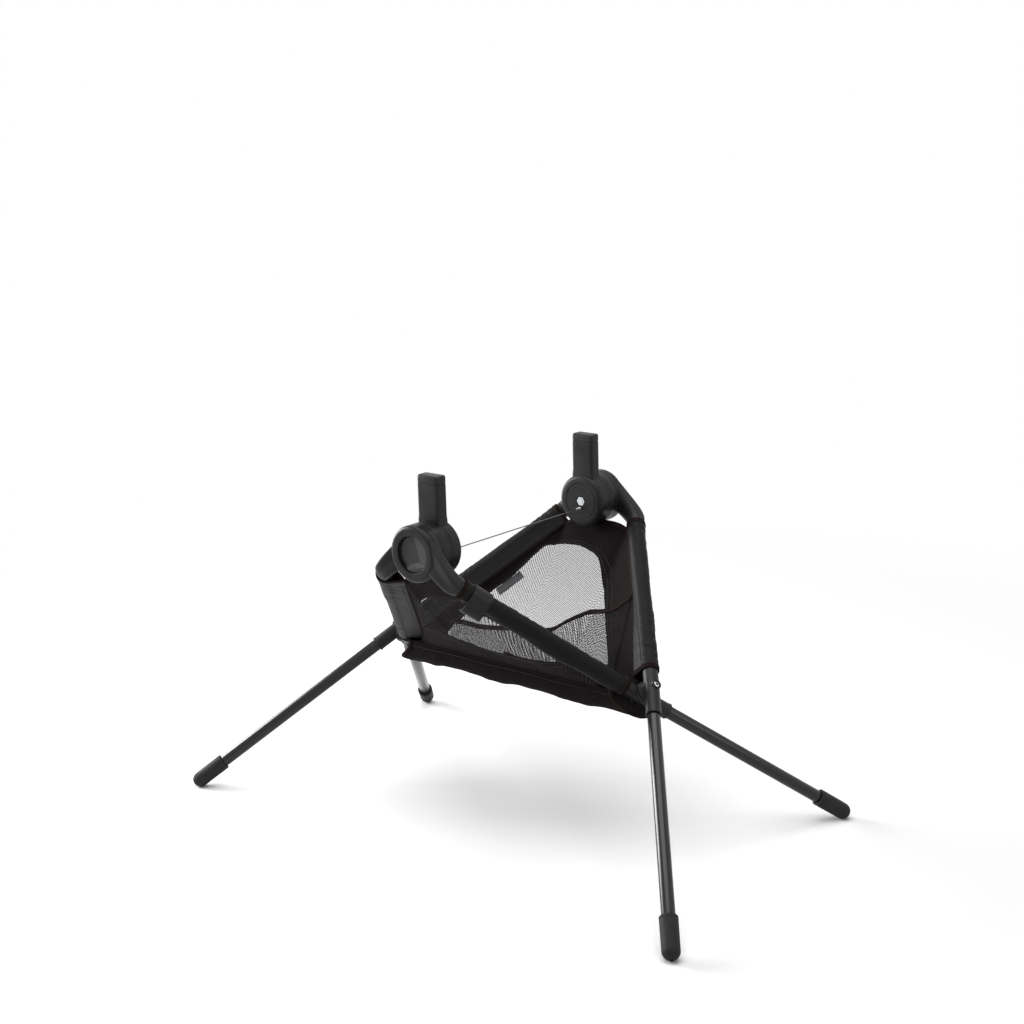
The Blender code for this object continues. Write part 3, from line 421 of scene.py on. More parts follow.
def round_edges(item, width):
    """Bevel the piece's edges, keeping its finishes."""
    bevel = item.modifiers.new("edges", "BEVEL")
    bevel.width, bevel.segments, bevel.limit_method = width, 2, "ANGLE"
    bevel.angle_limit = math.radians(30)
    bevel.harden_normals = True
    bpy.context.view_layer.update()
    graph = bpy.context.evaluated_depsgraph_get()
    mesh = bpy.data.meshes.new_from_object(item.evaluated_get(graph), depsgraph=graph)
    item.modifiers.clear()
    old, item.data = item.data, mesh
    bpy.data.meshes.remove(old)


def refinish(node, name):
    """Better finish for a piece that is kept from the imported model."""
    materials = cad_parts[node].data.materials
    materials.clear()
    materials.append(finish(name))


# ---------------------------------------------------------------- shader building


class Tree:
    """Adds and links nodes in one node tree."""

    def __init__(self, tree):
        self.tree = tree

    def node(self, kind, inputs=None, **settings):
        made = self.tree.nodes.new(kind)
        for key, value in settings.items():
            setattr(made, key, value)
        return self.fill(made, inputs or {})

    def fill(self, node, inputs):
        """Link or set inputs of a node, by their names or numbers."""
        for key, value in inputs.items():
            self.put(node.inputs[key], value)
        return node

    def put(self, socket, value):
        if isinstance(value, bpy.types.NodeSocket):
            self.tree.links.new(value, socket)
        elif hasattr(value, "__len__") and len(value) == 3 and socket.type == "RGBA":
            socket.default_value = (*value, 1.0)
        else:
            socket.default_value = value

    def maths(self, operation, *values, clamp=False):
        made = self.node("ShaderNodeMath", dict(enumerate(values)), operation=operation, use_clamp=clamp)
        return made.outputs[0]

    def times(self, *values, clamp=False):
        return self.maths("MULTIPLY", *values, clamp=clamp)

    def ramp(self, value, low, high, to_low=0.0, to_high=1.0, kind="SMOOTHSTEP"):
        inputs = {"Value": value, "From Min": low, "From Max": high, "To Min": to_low, "To Max": to_high}
        return self.node("ShaderNodeMapRange", inputs, interpolation_type=kind).outputs["Result"]

    def between(self, value, low, high):
        """Straight from low to high as the value goes from 0 to 1."""
        return self.ramp(value, 0.0, 1.0, low, high, "LINEAR")

    def mix(self, factor, a, b):
        return self.node("ShaderNodeMix", data_type="RGBA", inputs={0: factor, 6: a, 7: b}).outputs[2]

    def tones(self, factor, base, low, high):
        """Two shades of a colour, mixed."""
        return self.mix(factor, shade(base, low), shade(base, high))

    def noise(self, vector, scale, detail=3.0, roughness=0.55):
        inputs = {"Vector": vector, "Scale": scale, "Detail": detail, "Roughness": roughness}
        return self.node("ShaderNodeTexNoise", inputs).outputs["Fac"]

    def wave(self, vector, scale, distortion=0.0, **settings):
        inputs = {"Vector": vector, "Scale": scale, "Distortion": distortion}
        return self.node("ShaderNodeTexWave", inputs, **settings).outputs["Fac"]

    def place(self, output="Object", scale=(1, 1, 1)):
        coordinates = self.node("ShaderNodeTexCoord").outputs[output]
        return self.node("ShaderNodeMapping", {"Vector": coordinates, "Scale": scale}).outputs["Vector"]

    def group(self, name, **inputs):
        made = self.tree.nodes.new("ShaderNodeGroup")
        made.node_tree = effect(name)
        return self.fill(made, inputs).outputs


EFFECTS, FINISHES, MADE = {}, {}, {}


def kept_in(table):
    """Decorator that keeps a builder in a table under its own name."""
    return lambda function: table.setdefault(function.__name__, function)


def effect(name):
    """Shared shader effect, built the first time that it is asked for."""
    if name not in MADE:
        MADE[name] = bpy.data.node_groups.new(name, "ShaderNodeTree")
        EFFECTS[name](MADE[name])
    return MADE[name]


def finish(name):
    """Material of this name, built the first time that it is asked for."""
    if name not in MADE:
        made = MADE[name] = bpy.data.materials.new(name)
        made.use_nodes = True
        FINISHES[name](Tree(made.node_tree), made.node_tree.nodes["Principled BSDF"])
    return MADE[name]


def sockets(tree, inputs, outputs):
    """Name a group's sockets, and give its Tree, its inputs and its outputs."""
    for title, default in inputs.items():
        made = tree.interface.new_socket(name=title, in_out="INPUT", socket_type="NodeSocketFloat")
        made.default_value = default
    for title in outputs:
        tree.interface.new_socket(name=title, in_out="OUTPUT", socket_type="NodeSocketFloat")
    t = Tree(tree)
    return t, t.node("NodeGroupInput").outputs, t.node("NodeGroupOutput").inputs


@kept_in(EFFECTS)
def moulded_grain(tree):
    """Fine spark-eroded grain of a moulded surface, with a slow drift of its sheen."""
    t, given, out = sockets(tree, {"Scale": 2600.0}, ("Height", "Drift"))
    at = t.place()
    fine = t.noise(at, given["Scale"], 2.0, 0.6)
    cells = t.node("ShaderNodeTexVoronoi", {"Vector": at, "Scale": t.times(given["Scale"], 0.6)})
    t.put(out["Height"], t.maths("ADD", t.times(fine, 0.7), t.times(cells.outputs["Distance"], 0.3)))
    t.put(out["Drift"], t.ramp(t.noise(at, 38.0, 4.0), 0.35, 0.68))


@kept_in(EFFECTS)
def edge_wear(tree):
    """Where corners have been rubbed: raised edges, broken up by noise."""
    t, given, out = sockets(tree, {"Reach": 0.04}, ("Mask",))
    point = t.node("ShaderNodeNewGeometry").outputs["Pointiness"]
    edge = t.ramp(point, 0.515, t.maths("ADD", 0.515, given["Reach"]))
    broken = t.ramp(t.noise(t.place(), 220.0, 5.0, 0.65), 0.4, 0.66)
    t.put(out["Mask"], t.times(edge, broken, clamp=True))


@kept_in(EFFECTS)
def settled_dust(tree):
    """Thin dust on faces that look up, in soft patches."""
    t, given, out = sockets(tree, {"Amount": 0.2}, ("Mask",))
    normal = t.node("ShaderNodeNewGeometry").outputs["Normal"]
    up = t.ramp(t.node("ShaderNodeSeparateXYZ", {"Vector": normal}).outputs["Z"], 0.1, 0.95)
    patch = t.ramp(t.noise(t.place(), 60.0, 6.0, 0.7), 0.42, 0.75)
    specks = t.ramp(t.noise(t.place(), 1900.0, 2.0), 0.62, 0.72)
    both = t.maths("ADD", t.times(patch, 0.6), t.times(specks, 0.4))
    t.put(out["Mask"], t.times(t.times(up, both), given["Amount"], clamp=True))


@kept_in(EFFECTS)
def plain_weave(tree):
    """Over-and-under threads of a plain woven cloth, from its own coordinates in metres."""
    t, given, out = sockets(tree, {"Pitch": 0.0007}, ("Height", "Thread"))
    at = t.node("ShaderNodeSeparateXYZ", {"Vector": t.place("UV")}).outputs
    turns = [t.times(t.maths("DIVIDE", at[axis], given["Pitch"]), math.pi) for axis in ("X", "Y")]
    over = t.times(*(t.maths("SINE", turn) for turn in turns))
    slub = t.noise(t.place("UV", (90, 900, 1)), 1.0, 3.0)
    t.put(out["Height"], t.maths("ADD", t.maths("ABSOLUTE", over), t.times(slub, 0.5)))
    t.put(out["Thread"], t.maths("ADD", t.times(over, 0.25), t.times(slub, 0.75)))


@kept_in(EFFECTS)
def net_holes(tree):
    """Staggered round holes of a knitted net: Thread is 0 in a hole and 1 on the yarn."""
    t, given, out = sockets(tree, {"Pitch": 0.0027, "Hole": 0.38, "Turn": 0.5}, ("Thread", "Height"))
    row_height, soft = 0.866, 0.03
    cloth = t.node("ShaderNodeTexCoord").outputs["UV"]
    spun = t.node("ShaderNodeVectorRotate", {"Vector": cloth, "Angle": given["Turn"]}, rotation_type="Z_AXIS")
    at = t.node("ShaderNodeSeparateXYZ", {"Vector": spun.outputs[0]}).outputs
    down = t.maths("DIVIDE", at["Y"], t.times(given["Pitch"], row_height))
    odd = t.times(t.maths("FLOORED_MODULO", t.maths("FLOOR", down), 2.0), 0.5)
    beside = t.maths("ADD", t.maths("DIVIDE", at["X"], given["Pitch"]), odd)
    dx = t.maths("SUBTRACT", t.maths("FRACT", beside), 0.5)
    dy = t.times(t.maths("SUBTRACT", t.maths("FRACT", down), 0.5), row_height)
    far = t.maths("SQRT", t.maths("ADD", t.times(dx, dx), t.times(dy, dy)))
    edges = [t.maths(way, given["Hole"], soft) for way in ("SUBTRACT", "ADD")]
    t.put(out["Thread"], t.ramp(far, *edges))
    t.put(out["Height"], t.ramp(far, given["Hole"], 0.62))


@kept_in(EFFECTS)
def cloth_drift(tree):
    """Slow change of a cloth's tone and fuzz over its surface."""
    t, given, out = sockets(tree, {"Scale": 30.0}, ("Tone", "Fuzz"))
    at = t.place()
    t.put(out["Tone"], t.ramp(t.noise(at, given["Scale"], 5.0, 0.6), 0.3, 0.72))
    t.put(out["Fuzz"], t.ramp(t.noise(at, t.times(given["Scale"], 40.0), 2.0), 0.3, 0.7))


# ---------------------------------------------------------------- finishes


def shade(base, factor):
    return tuple(min(c * factor, 1.0) for c in base)


def surface(t, shader, tone, roughness, relief, depth, **others):
    """Colour, roughness and relief of a finish; other inputs of the shader are given by name."""
    bump = t.node("ShaderNodeBump", {"Height": relief, "Distance": depth})
    t.fill(shader, {"Base Color": tone, "Roughness": roughness, "Normal": bump.outputs["Normal"]})
    t.fill(shader, {name.replace("_", " "): value for name, value in others.items()})


def moulded(t, shader, base, rough, grain, depth, dust, specular):
    """Moulded plastic or rubber: grain, worn corners and a little dust."""
    grained = t.group("moulded_grain", Scale=grain)
    worn = t.group("edge_wear")["Mask"]
    dusty = t.group("settled_dust", Amount=dust)["Mask"]
    tone = t.mix(t.times(worn, 0.45), t.tones(grained["Drift"], base, 0.86, 1.12), shade(base, 2.4))
    drift = t.between(grained["Drift"], rough - 0.05, rough + 0.05)
    surface(t, shader, t.mix(dusty, tone, (0.15, 0.148, 0.15)), t.maths("SUBTRACT", drift, t.times(worn, 0.12)),
            grained["Height"], depth, Specular_IOR_Level=specular)


@kept_in(FINISHES)
def moulded_plastic(t, shader):
    moulded(t, shader, colours().moulding, 0.40, 2600.0, 0.00004, 0.05, 0.16)


@kept_in(FINISHES)
def grained_rubber(t, shader):
    moulded(t, shader, colours().rubber, 0.62, 1500.0, 0.00010, 0.14, 0.10)


@kept_in(FINISHES)
def polished_button(t, shader):
    """Polished plastic with faint swirls of handling."""
    base = colours().button
    worn = t.times(t.group("edge_wear", Reach=0.05)["Mask"], 0.3)
    smear = t.ramp(t.noise(t.place(), 55.0, 5.0, 0.7), 0.4, 0.7)
    swirl = t.noise(t.place(scale=(40, 40, 900)), 1.0, 4.0, 0.7)
    surface(t, shader, t.mix(worn, base, shade(base, 1.9)), t.between(smear, 0.16, 0.30), swirl, 0.00001,
            Specular_IOR_Level=0.12)


@kept_in(FINISHES)
def gloss_paint(t, shader):
    """Gloss paint on drawn tube: faint orange peel, fine rubs along the tube and a few scuffs."""
    base = colours().paint
    peel = t.noise(t.place(), 700.0, 1.0, 0.4)
    rubs = t.noise(t.place(scale=(900, 900, 22)), 1.0, 4.0, 0.7)
    scuffs = t.ramp(t.noise(t.place(scale=(160, 160, 30)), 1.0, 6.0, 0.75), 0.62, 0.72)
    dusty = t.group("settled_dust", Amount=0.06)["Mask"]
    tone = t.mix(t.times(scuffs, 0.35), base, shade(base, 3.0))
    rough = t.ramp(rubs, 0.3, 0.75, 0.17, 0.27, "LINEAR")
    surface(t, shader, t.mix(dusty, tone, (0.13, 0.13, 0.125)), t.maths("ADD", rough, t.times(scuffs, 0.12)),
            peel, 0.000012, Specular_IOR_Level=0.34)


@kept_in(FINISHES)
def turned_steel(t, shader):
    """Turned and plated steel: rings of the tool and small dull spots."""
    base = colours().steel
    rings = t.wave(t.place(), 900.0, 1.5, wave_type="RINGS", rings_direction="Z")
    spots = t.ramp(t.noise(t.place(), 420.0, 5.0, 0.7), 0.55, 0.72)
    surface(t, shader, t.mix(t.times(spots, 0.4), base, shade(base, 0.55)), t.between(spots, 0.2, 0.42),
            rings, 0.000012, Metallic=1.0)


@kept_in(FINISHES)
def strand_steel(t, shader):
    """Dull galvanised strands of the cable."""
    spots = t.ramp(t.noise(t.place(), 1200.0, 4.0, 0.7), 0.4, 0.7)
    surface(t, shader, t.mix(spots, (0.17, 0.17, 0.18), (0.08, 0.08, 0.08)), t.between(spots, 0.35, 0.6),
            spots, 0.00001, Metallic=1.0)


def woven(t, base):
    """Tone, fuzz and relief of a woven cloth."""
    weave = t.group("plain_weave", Pitch=sizes().weave)
    slow = t.group("cloth_drift", Scale=30.0)
    tone = t.mix(t.times(weave["Thread"], 0.5), shade(base, 0.7), t.tones(slow["Tone"], base, 0.78, 1.22))
    return tone, slow["Fuzz"], weave["Height"]


def coated_cloth(t, shader, base):
    """Coated cloth: a tight weave under a thin film, so it shines softly along the folds."""
    tone, fuzz, relief = woven(t, base)
    surface(t, shader, tone, t.between(fuzz, 0.44, 0.58), relief, 0.00006, Specular_IOR_Level=0.09,
            Sheen_Weight=0.01, Sheen_Roughness=0.4, Sheen_Tint=(0.75, 0.7, 0.75))


@kept_in(FINISHES)
def coated_sleeve_cloth(t, shader):
    coated_cloth(t, shader, colours().sleeve)


# Lit copy of the sleeve cloth: painted light on the near back sleeve, which catches the light from the left
@kept_in(FINISHES)
def painted_light_sleeve_cloth(t, shader):
    coated_cloth(t, shader, colours().painted_light_sleeve)


@kept_in(FINISHES)
def woven_sling_cloth(t, shader):
    """Plain woven cloth of the floor: matt, brownish and a little dusty in its folds."""
    tone, fuzz, relief = woven(t, colours().cloth)
    dusty = t.group("settled_dust", Amount=0.08)["Mask"]
    surface(t, shader, t.mix(dusty, tone, (0.06, 0.055, 0.053)), t.between(fuzz, 0.74, 0.9), relief, 0.00009,
            Specular_IOR_Level=0.02, Sheen_Weight=0.003, Sheen_Tint=(0.6, 0.5, 0.5))


def ribbed(t, shader, base, ribs, drift, tones, share, roughness, depth, **others):
    """Ribbed tape, darker between its ribs."""
    slow = t.group("cloth_drift", Scale=drift)
    tone = t.mix(t.times(ribs, share), t.tones(slow["Tone"], base, *tones), shade(base, 0.6))
    surface(t, shader, tone, t.between(slow["Fuzz"], *roughness), ribs, depth, **others)


@kept_in(FINISHES)
def binding_tape(t, shader):
    ribs = t.wave(t.place("UV"), 260.0, 0.4, wave_type="BANDS", bands_direction="X")
    ribbed(t, shader, colours().binding, ribs, 45.0, (0.8, 1.25), 0.4, (0.7, 0.85), 0.00008,
           Specular_IOR_Level=0.03, Sheen_Weight=0.004, Sheen_Tint=(0.6, 0.48, 0.46))


@kept_in(FINISHES)
def ribbed_tab_cloth(t, shader):
    ribs = t.wave(t.place("UV"), 330.0, 0.3, wave_type="BANDS", bands_direction="Y")
    ribbed(t, shader, colours().tab, ribs, 70.0, (0.85, 1.1), 0.3, (0.6, 0.8), 0.00006)


@kept_in(FINISHES)
def sewing_thread(t, shader):
    """Twisted sewing thread, a shade lighter than the cloth."""
    base = shade(colours().binding, 1.3)
    twist = t.wave(t.place(), 900.0, wave_type="BANDS", bands_direction="DIAGONAL")
    surface(t, shader, t.tones(twist, base, 0.7, 1.0), t.between(twist, 0.55, 0.7), twist, 0.00005)


def knitted(t, shader, base, pitch, hole, turn, roughness):
    """Open knitted net, see-through in its holes."""
    holes = t.group("net_holes", Pitch=pitch, Hole=hole, Turn=turn)
    slow = t.group("cloth_drift", Scale=40.0)
    surface(t, shader, t.tones(slow["Tone"], base, 0.8, 1.2), t.between(slow["Fuzz"], *roughness),
            holes["Height"], 0.0003, Alpha=holes["Thread"], Specular_IOR_Level=0.04)


@kept_in(FINISHES)
def window_net(t, shader):
    knitted(t, shader, colours().net, sizes().window_pitch, 0.350, 0.62, (0.55, 0.75))


@kept_in(FINISHES)
def pocket_net(t, shader):
    """Net of the far window, laid another way so that the two layers cross."""
    knitted(t, shader, colours().net, sizes().window_pitch, 0.345, 0.2, (0.55, 0.75))


@kept_in(FINISHES)
def facing_net(t, shader):
    """Lighter net of the near window: ribs with holes between them."""
    knitted(t, shader, shade(colours().net, 1.3), sizes().facing_pitch, 0.37, 1.35, (0.6, 0.8))


@kept_in(FINISHES)
def lined_border(t, shader):
    """Border of a panel: net over a lining outside, plain cloth inside."""
    holes = t.group("net_holes", Pitch=sizes().facing_pitch, Hole=0.37, Turn=1.35)
    weave = t.group("plain_weave", Pitch=sizes().weave)
    slow = t.group("cloth_drift", Scale=30.0)
    inside = t.node("ShaderNodeNewGeometry").outputs["Backfacing"]
    cloth, net = colours().cloth, colours().net
    outer = t.mix(holes["Thread"], shade(cloth, 0.2), shade(net, 1.9))
    inner = t.tones(t.times(weave["Thread"], 0.5), cloth, 0.55, 0.95)
    tone = t.mix(slow["Tone"], shade(cloth, 0.7), t.mix(inside, outer, inner))
    height = t.maths("ADD", t.times(holes["Height"], 0.8), t.times(weave["Height"], 0.2))
    surface(t, shader, tone, t.between(slow["Fuzz"], 0.68, 0.85), height, 0.0002, Specular_IOR_Level=0.03)


# ---------------------------------------------------------------- stage


def light_ray(t):
    """1 for rays that see the background: from the camera, in gloss or through glass."""
    rays = t.node("ShaderNodeLightPath").outputs
    both = t.maths("MAXIMUM", rays["Is Camera Ray"], rays["Is Glossy Ray"])
    return t.maths("MAXIMUM", both, rays["Is Transmission Ray"])


def studio_floor():
    """Pale floor that keeps the stand's shadow and fades into the white background."""
    made = bpy.data.materials.new("studio_floor")
    made.use_nodes = True
    nodes, t = made.node_tree.nodes, Tree(made.node_tree)
    speckle = t.noise(t.place(), 300.0, 3.0)
    shader = t.fill(nodes["Principled BSDF"], {
        "Base Color": t.mix(speckle, (0.86, 0.86, 0.86), (0.88, 0.88, 0.88)),
        "Roughness": t.between(speckle, 0.85, 0.95), "Specular IOR Level": 0.1,
    })
    away = t.node("ShaderNodeVectorMath", {0: t.place()}, operation="LENGTH").outputs["Value"]
    fade = t.times(t.ramp(away, 0.55, 1.9), light_ray(t))
    white = t.node("ShaderNodeEmission", {"Color": (1, 1, 1), "Strength": 1.0})
    mixed = t.node("ShaderNodeMixShader", {0: fade, 1: shader.outputs[0], 2: white.outputs[0]})
    t.put(nodes["Material Output"].inputs["Surface"], mixed.outputs[0])
    return made


def studio_world():
    world = bpy.data.worlds.new("studio")
    world.use_nodes = True
    t = Tree(world.node_tree)
    strength = t.between(light_ray(t), WORLD_LIGHT, 1.0)
    t.fill(world.node_tree.nodes["Background"], {"Color": (1, 1, 1), "Strength": strength})
    bpy.context.scene.world = world


def softbox(name, place, aim, size, power):
    data = bpy.data.lights.new(name, "AREA")
    data.shape, data.size, data.energy = "SQUARE", size, power
    lamp = placed(name, data)
    lamp.location = place
    lamp.rotation_euler = (Vector(aim) - Vector(place)).to_track_quat("-Z", "Y").to_euler()


def camera():
    level = math.cos(ELEVATION)
    back = Vector((math.sin(AZIMUTH) * level, -math.cos(AZIMUTH) * level, math.sin(ELEVATION)))
    right = Vector((math.cos(AZIMUTH), math.sin(AZIMUTH), 0))
    up = back.cross(right)
    x = right * math.cos(ROLL) + up * math.sin(ROLL)
    y = up * math.cos(ROLL) - right * math.sin(ROLL)
    data = bpy.data.cameras.new("camera")
    data.sensor_width = data.sensor_height = SENSOR
    data.lens = FOCAL_PIXELS / IMAGE_SIZE * SENSOR
    data.shift_x = (IMAGE_SIZE / 2 - PRINCIPAL[0]) / IMAGE_SIZE
    data.shift_y = (PRINCIPAL[1] - IMAGE_SIZE / 2) / IMAGE_SIZE
    item = placed("camera", data)
    turn = Matrix((x, y, back)).transposed().to_4x4()
    turn.translation = CAMERA_PLACE
    item.matrix_world = SHIFT @ turn
    bpy.context.scene.camera = item


class STAND_OT_stage(bpy.types.Operator):
    """Floor, white background, soft lights and the camera"""

    bl_idname = "stand.stage"
    bl_label = "Stage"

    def execute(self, context):
        context.scene.view_settings.view_transform = "Standard"
        camera()
        studio_world()
        mesh = bpy.data.meshes.new("floor")
        corners = [(x * FLOOR_HALF, y * FLOOR_HALF, 0) for x, y in ((-1, -1), (1, -1), (1, 1), (-1, 1))]
        mesh.from_pydata(corners, [], [(0, 1, 2, 3)])
        mesh.materials.append(studio_floor())
        floor = placed("floor", mesh)
        floor.location.z = -FLOOR_DROP
        floor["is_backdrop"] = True
        for lamp in LAMPS:
            softbox(*lamp)
        return {"FINISHED"}


# ---------------------------------------------------------------- legs, sockets and pivots


class STAND_OT_legs(bpy.types.Operator):
    """Leg tubes and foot caps"""

    bl_idname = "stand.legs"
    bl_label = "Legs"

    def execute(self, context):
        for name, body, pole in poles():
            self.leg(name, body, pole)
            self.cap(name, body, pole)
        return {"FINISHED"}

    def leg(self, name, body, pole):
        """Drawn tube with its ends turned over, from inside the socket to inside the cap."""
        radius, turn = sizes().leg / 2, 0.0005
        top = SOCKET_REACH - TUBE_SEAT + GAP
        span = pole.leg_length + FOOT_RADIUS - sizes().cap_length + TUBE_SEAT - GAP - top
        inner, edge = radius - TUBE_WALL, radius - turn
        profile = [(inner, 0), (edge, 0)] + arc((edge, turn), turn, -90, 0, 3)
        profile += arc((edge, span - turn), turn, 0, 90, 3) + [(inner, span)]
        shape = Shape()
        shape.lathe(profile, 56)
        build(f"{name}_leg", shape, ["gloss_paint"], body, f"{name}_leg_tube",
              frame_matrix(pole.leg(top), pole.down, (0, 1, 0)))

    def cap(self, name, body, pole):
        """Rubber cap: bead at its mouth, tapered barrel, domed end with a moulding hole, flat foot."""
        top, long = sizes().cap / 2, sizes().cap_length
        bore, hole, edge = sizes().leg / 2 + GAP, 0.0020, 0.0010
        profile = [(bore, TUBE_SEAT), (bore, 0.0006), (bore + 0.0005, 0)]
        profile += arc((top - edge, edge), edge, -80, 20, 4)
        profile += [(top - 0.0001, 0.0042), (top - 0.0005, 0.0047), (top - 0.0005, 0.0053), (top - 0.0001, 0.0058)]
        hole_edge = math.degrees(math.acos(hole / FOOT_RADIUS)) - 2
        profile += arc((0, long - FOOT_RADIUS), FOOT_RADIUS, 0, hole_edge, 14)
        profile += [(hole, long - 0.0009), (hole * 0.9, long - 0.003), (0, long - 0.003)]
        shape = Shape()
        shape.lathe(profile, 56)
        start = pole.leg(pole.leg_length + FOOT_RADIUS - long)
        matrix = frame_matrix(start, pole.down, (0, 1, 0))
        for index, point in enumerate(shape.points):
            world = matrix @ point
            if world.z < 0:
                shape.points[index] = matrix.inverted() @ Vector((world.x, world.y, 0.0))
        build(f"{name}_foot", shape, ["grained_rubber"], body, f"{name}_foot_cap", matrix)


class STAND_OT_sockets(bpy.types.Operator):
    """Moulded sockets that carry the legs and the pivots"""

    bl_idname = "stand.sockets"
    bl_label = "Sockets"

    def execute(self, context):
        for name, body, pole in poles():
            shape = Shape()
            self.sleeve(shape, pole)
            self.boss(shape, pole)
            build(f"{name}_pivot_socket", shape, ["moulded_plastic"], body, f"{name}_socket",
                  bevel=0.0003)
        return {"FINISHED"}

    def sleeve(self, shape, pole):
        """Bent round sleeve: open mouth with a lip below, closed shoulder inside the cloth above."""
        radius, bore, lip, bend, count = sizes().socket / 2, sizes().leg / 2 + GAP, 0.0006, 0.016, 56
        rows = []
        for inside in (0.020, 0.0):
            mouth = frame_matrix(pole.leg(SOCKET_REACH - inside), -pole.down, pole.normal)
            rows.append(circle(mouth, bore, count))
        stations = [(-SOCKET_REACH, lip), (-0.0445, lip), (-0.0438, 0.0)]
        for along, extra in stations + [(d, 0.0) for d in spread(-0.036, 0.036, 24)]:
            if abs(along) < bend:
                share = (along + bend) / (2 * bend)
                low, high = pole.leg(bend), pole.upper(bend)
                point = low.lerp(pole.pivot, share).lerp(pole.pivot.lerp(high, share), share)
                axis = (-pole.down).lerp(pole.up, share).normalized()
            elif along < 0:
                point, axis = pole.leg(-along), -pole.down
            else:
                point, axis = pole.upper(along), pole.up
            rows.append(circle(frame_matrix(point, axis, pole.normal), radius + extra, count))
        shape.skin(rows, True)
        shape.lids(rows[0], rows[-1])

    def boss(self, shape, pole):
        """Stepped boss towards the partner, and the seat of the screw or of the nut's cover."""
        radius = sizes().socket / 2
        reach = POLE_SPACING / 2 - 0.0005 - GAP
        towards = pole.normal * -pole.layer
        steps = [(0.0130, 0.0), (0.0130, 0.0046), (0.0142, 0.0050), (0.0142, 0.0066), (0.0154, 0.0070)]
        steps += [(0.0154, 0.0086), (0.0165, 0.0090), (0.0165, reach - 0.0003), (0.0162, reach), (0, reach)]
        shape.lathe(steps, 64, frame_matrix(pole.pivot, towards, pole.up))
        if pole.side == FAR:
            top = radius + COLLAR_HEIGHT
            collar = [(0.0078, 0.0), (0.0076, radius), (0.0071, top - 0.0006), (0.0066, top), (0.0056, top)]
            collar += [(0.0051, top - 0.0005), (0.0051, top - 0.0042), (0, top - 0.0042)]
        else:
            top = radius + GAP
            collar = [(0.0100, 0.0), (0.0097, radius - 0.0008), (0.0092, top), (0, top)]
        shape.lathe(collar, 56, frame_matrix(pole.pivot, -towards, pole.up))


class STAND_OT_pivots(bpy.types.Operator):
    """Pivot screws and the covers of their nuts"""

    bl_idname = "stand.pivots"
    bl_label = "Pivots"

    def execute(self, context):
        for end_name, end in ENDS.items():
            outer, inner = Pole(FAR, end), Pole(NEAR, end)
            matrix = frame_matrix((outer.pivot + inner.pivot) / 2, outer.normal, (0, 1, 0))
            face = POLE_SPACING / 2 + sizes().socket / 2
            seat = face + GAP + GAP
            nut_end = seat + COVER_HEIGHT
            inside = nut_end - COVER_HEIGHT / 3
            self.screw(end_name, matrix, face + COLLAR_HEIGHT - 0.0008, -inside)
            self.cover(end_name, matrix, -seat, -nut_end, -(inside + GAP))
            refinish(f"{end_name}_pivot_washer", "moulded_plastic")
        return {"FINISHED"}

    def screw(self, end_name, matrix, top, low):
        """Domed head with a six-sided recess, on a plain shank."""
        shank, head, key, count = 0.0040, 0.0048, 0.0022, 48
        profile = [(0, low), (shank - 0.0004, low), (shank, low + 0.0004), (shank, top - 0.003)]
        profile += [(head, top - 0.003), (head, top - 0.0014)]
        profile += [(head * math.cos(a), top - 0.0014 + 0.0014 * math.sin(a)) for a in spread(0.15, 1.02, 5)]
        rows = [circle(Matrix(), radius, count, height) for radius, height in profile]
        recess = ((1.08, top - 0.0002), (1.0, top - 0.0005), (0.98, top - 0.0018), (0.0, top - 0.0022))
        for scale, height in recess:
            row = []
            for a in spread(0, math.tau, count)[:-1]:
                off_flat = (a % (math.pi / 3)) - math.pi / 6
                radius = scale * key / math.cos(off_flat)
                row.append(Vector((radius * math.cos(a), radius * math.sin(a), height)))
            rows.append(row)
        shape = Shape()
        shape.skin(rows, True)
        build(f"{end_name}_pivot_screw", shape, ["turned_steel"], f"{end_name}_frame", f"{end_name}_pivot_bolt",
              matrix, 30)

    def cover(self, end_name, matrix, base, top, floor):
        """Round cover of the nut, knurled round its rim and stepped on its face."""
        bore, count, depth = 0.0043, 96, 0.0003
        profile = [(bore, floor, 0), (bore, base, 0), (0.0087, base, 0), (0.0090, base - 0.0003, 1)]
        profile += [(0.0090, base - 0.0020, 1), (0.0086, base - 0.0024, 0), (0.0074, base - 0.0026, 0)]
        profile += [(0.0072, base - 0.0032, 0), (0.0060, base - 0.0034, 0), (0.0057, top, 0), (0.0004, top, 0)]
        rows = []
        for radius, height, knurl in profile:
            row = []
            for k in range(count):
                a, r = math.tau * k / count, radius - knurl * depth * (k % 4 in (0, 1))
                row.append(Vector((r * math.cos(a), r * math.sin(a), height)))
            rows.append(row)
        shape = Shape()
        shape.skin(rows, True)
        shape.lids(rows[0], rows[-1])
        build(f"{end_name}_pivot_cover", shape, ["moulded_plastic"], f"{end_name}_frame",
              f"{end_name}_pivot_nut_cap", matrix)


# ---------------------------------------------------------------- hubs


def bezier(a, b, c, d, t):
    s = 1 - t
    return s**3 * a + 3 * s * s * t * b + 3 * s * t * t * c + t**3 * d


def bezier_slope(a, b, c, d, t):
    s = 1 - t
    return 3 * s * s * (b - a) + 6 * s * t * (c - b) + 3 * t * t * (d - c)


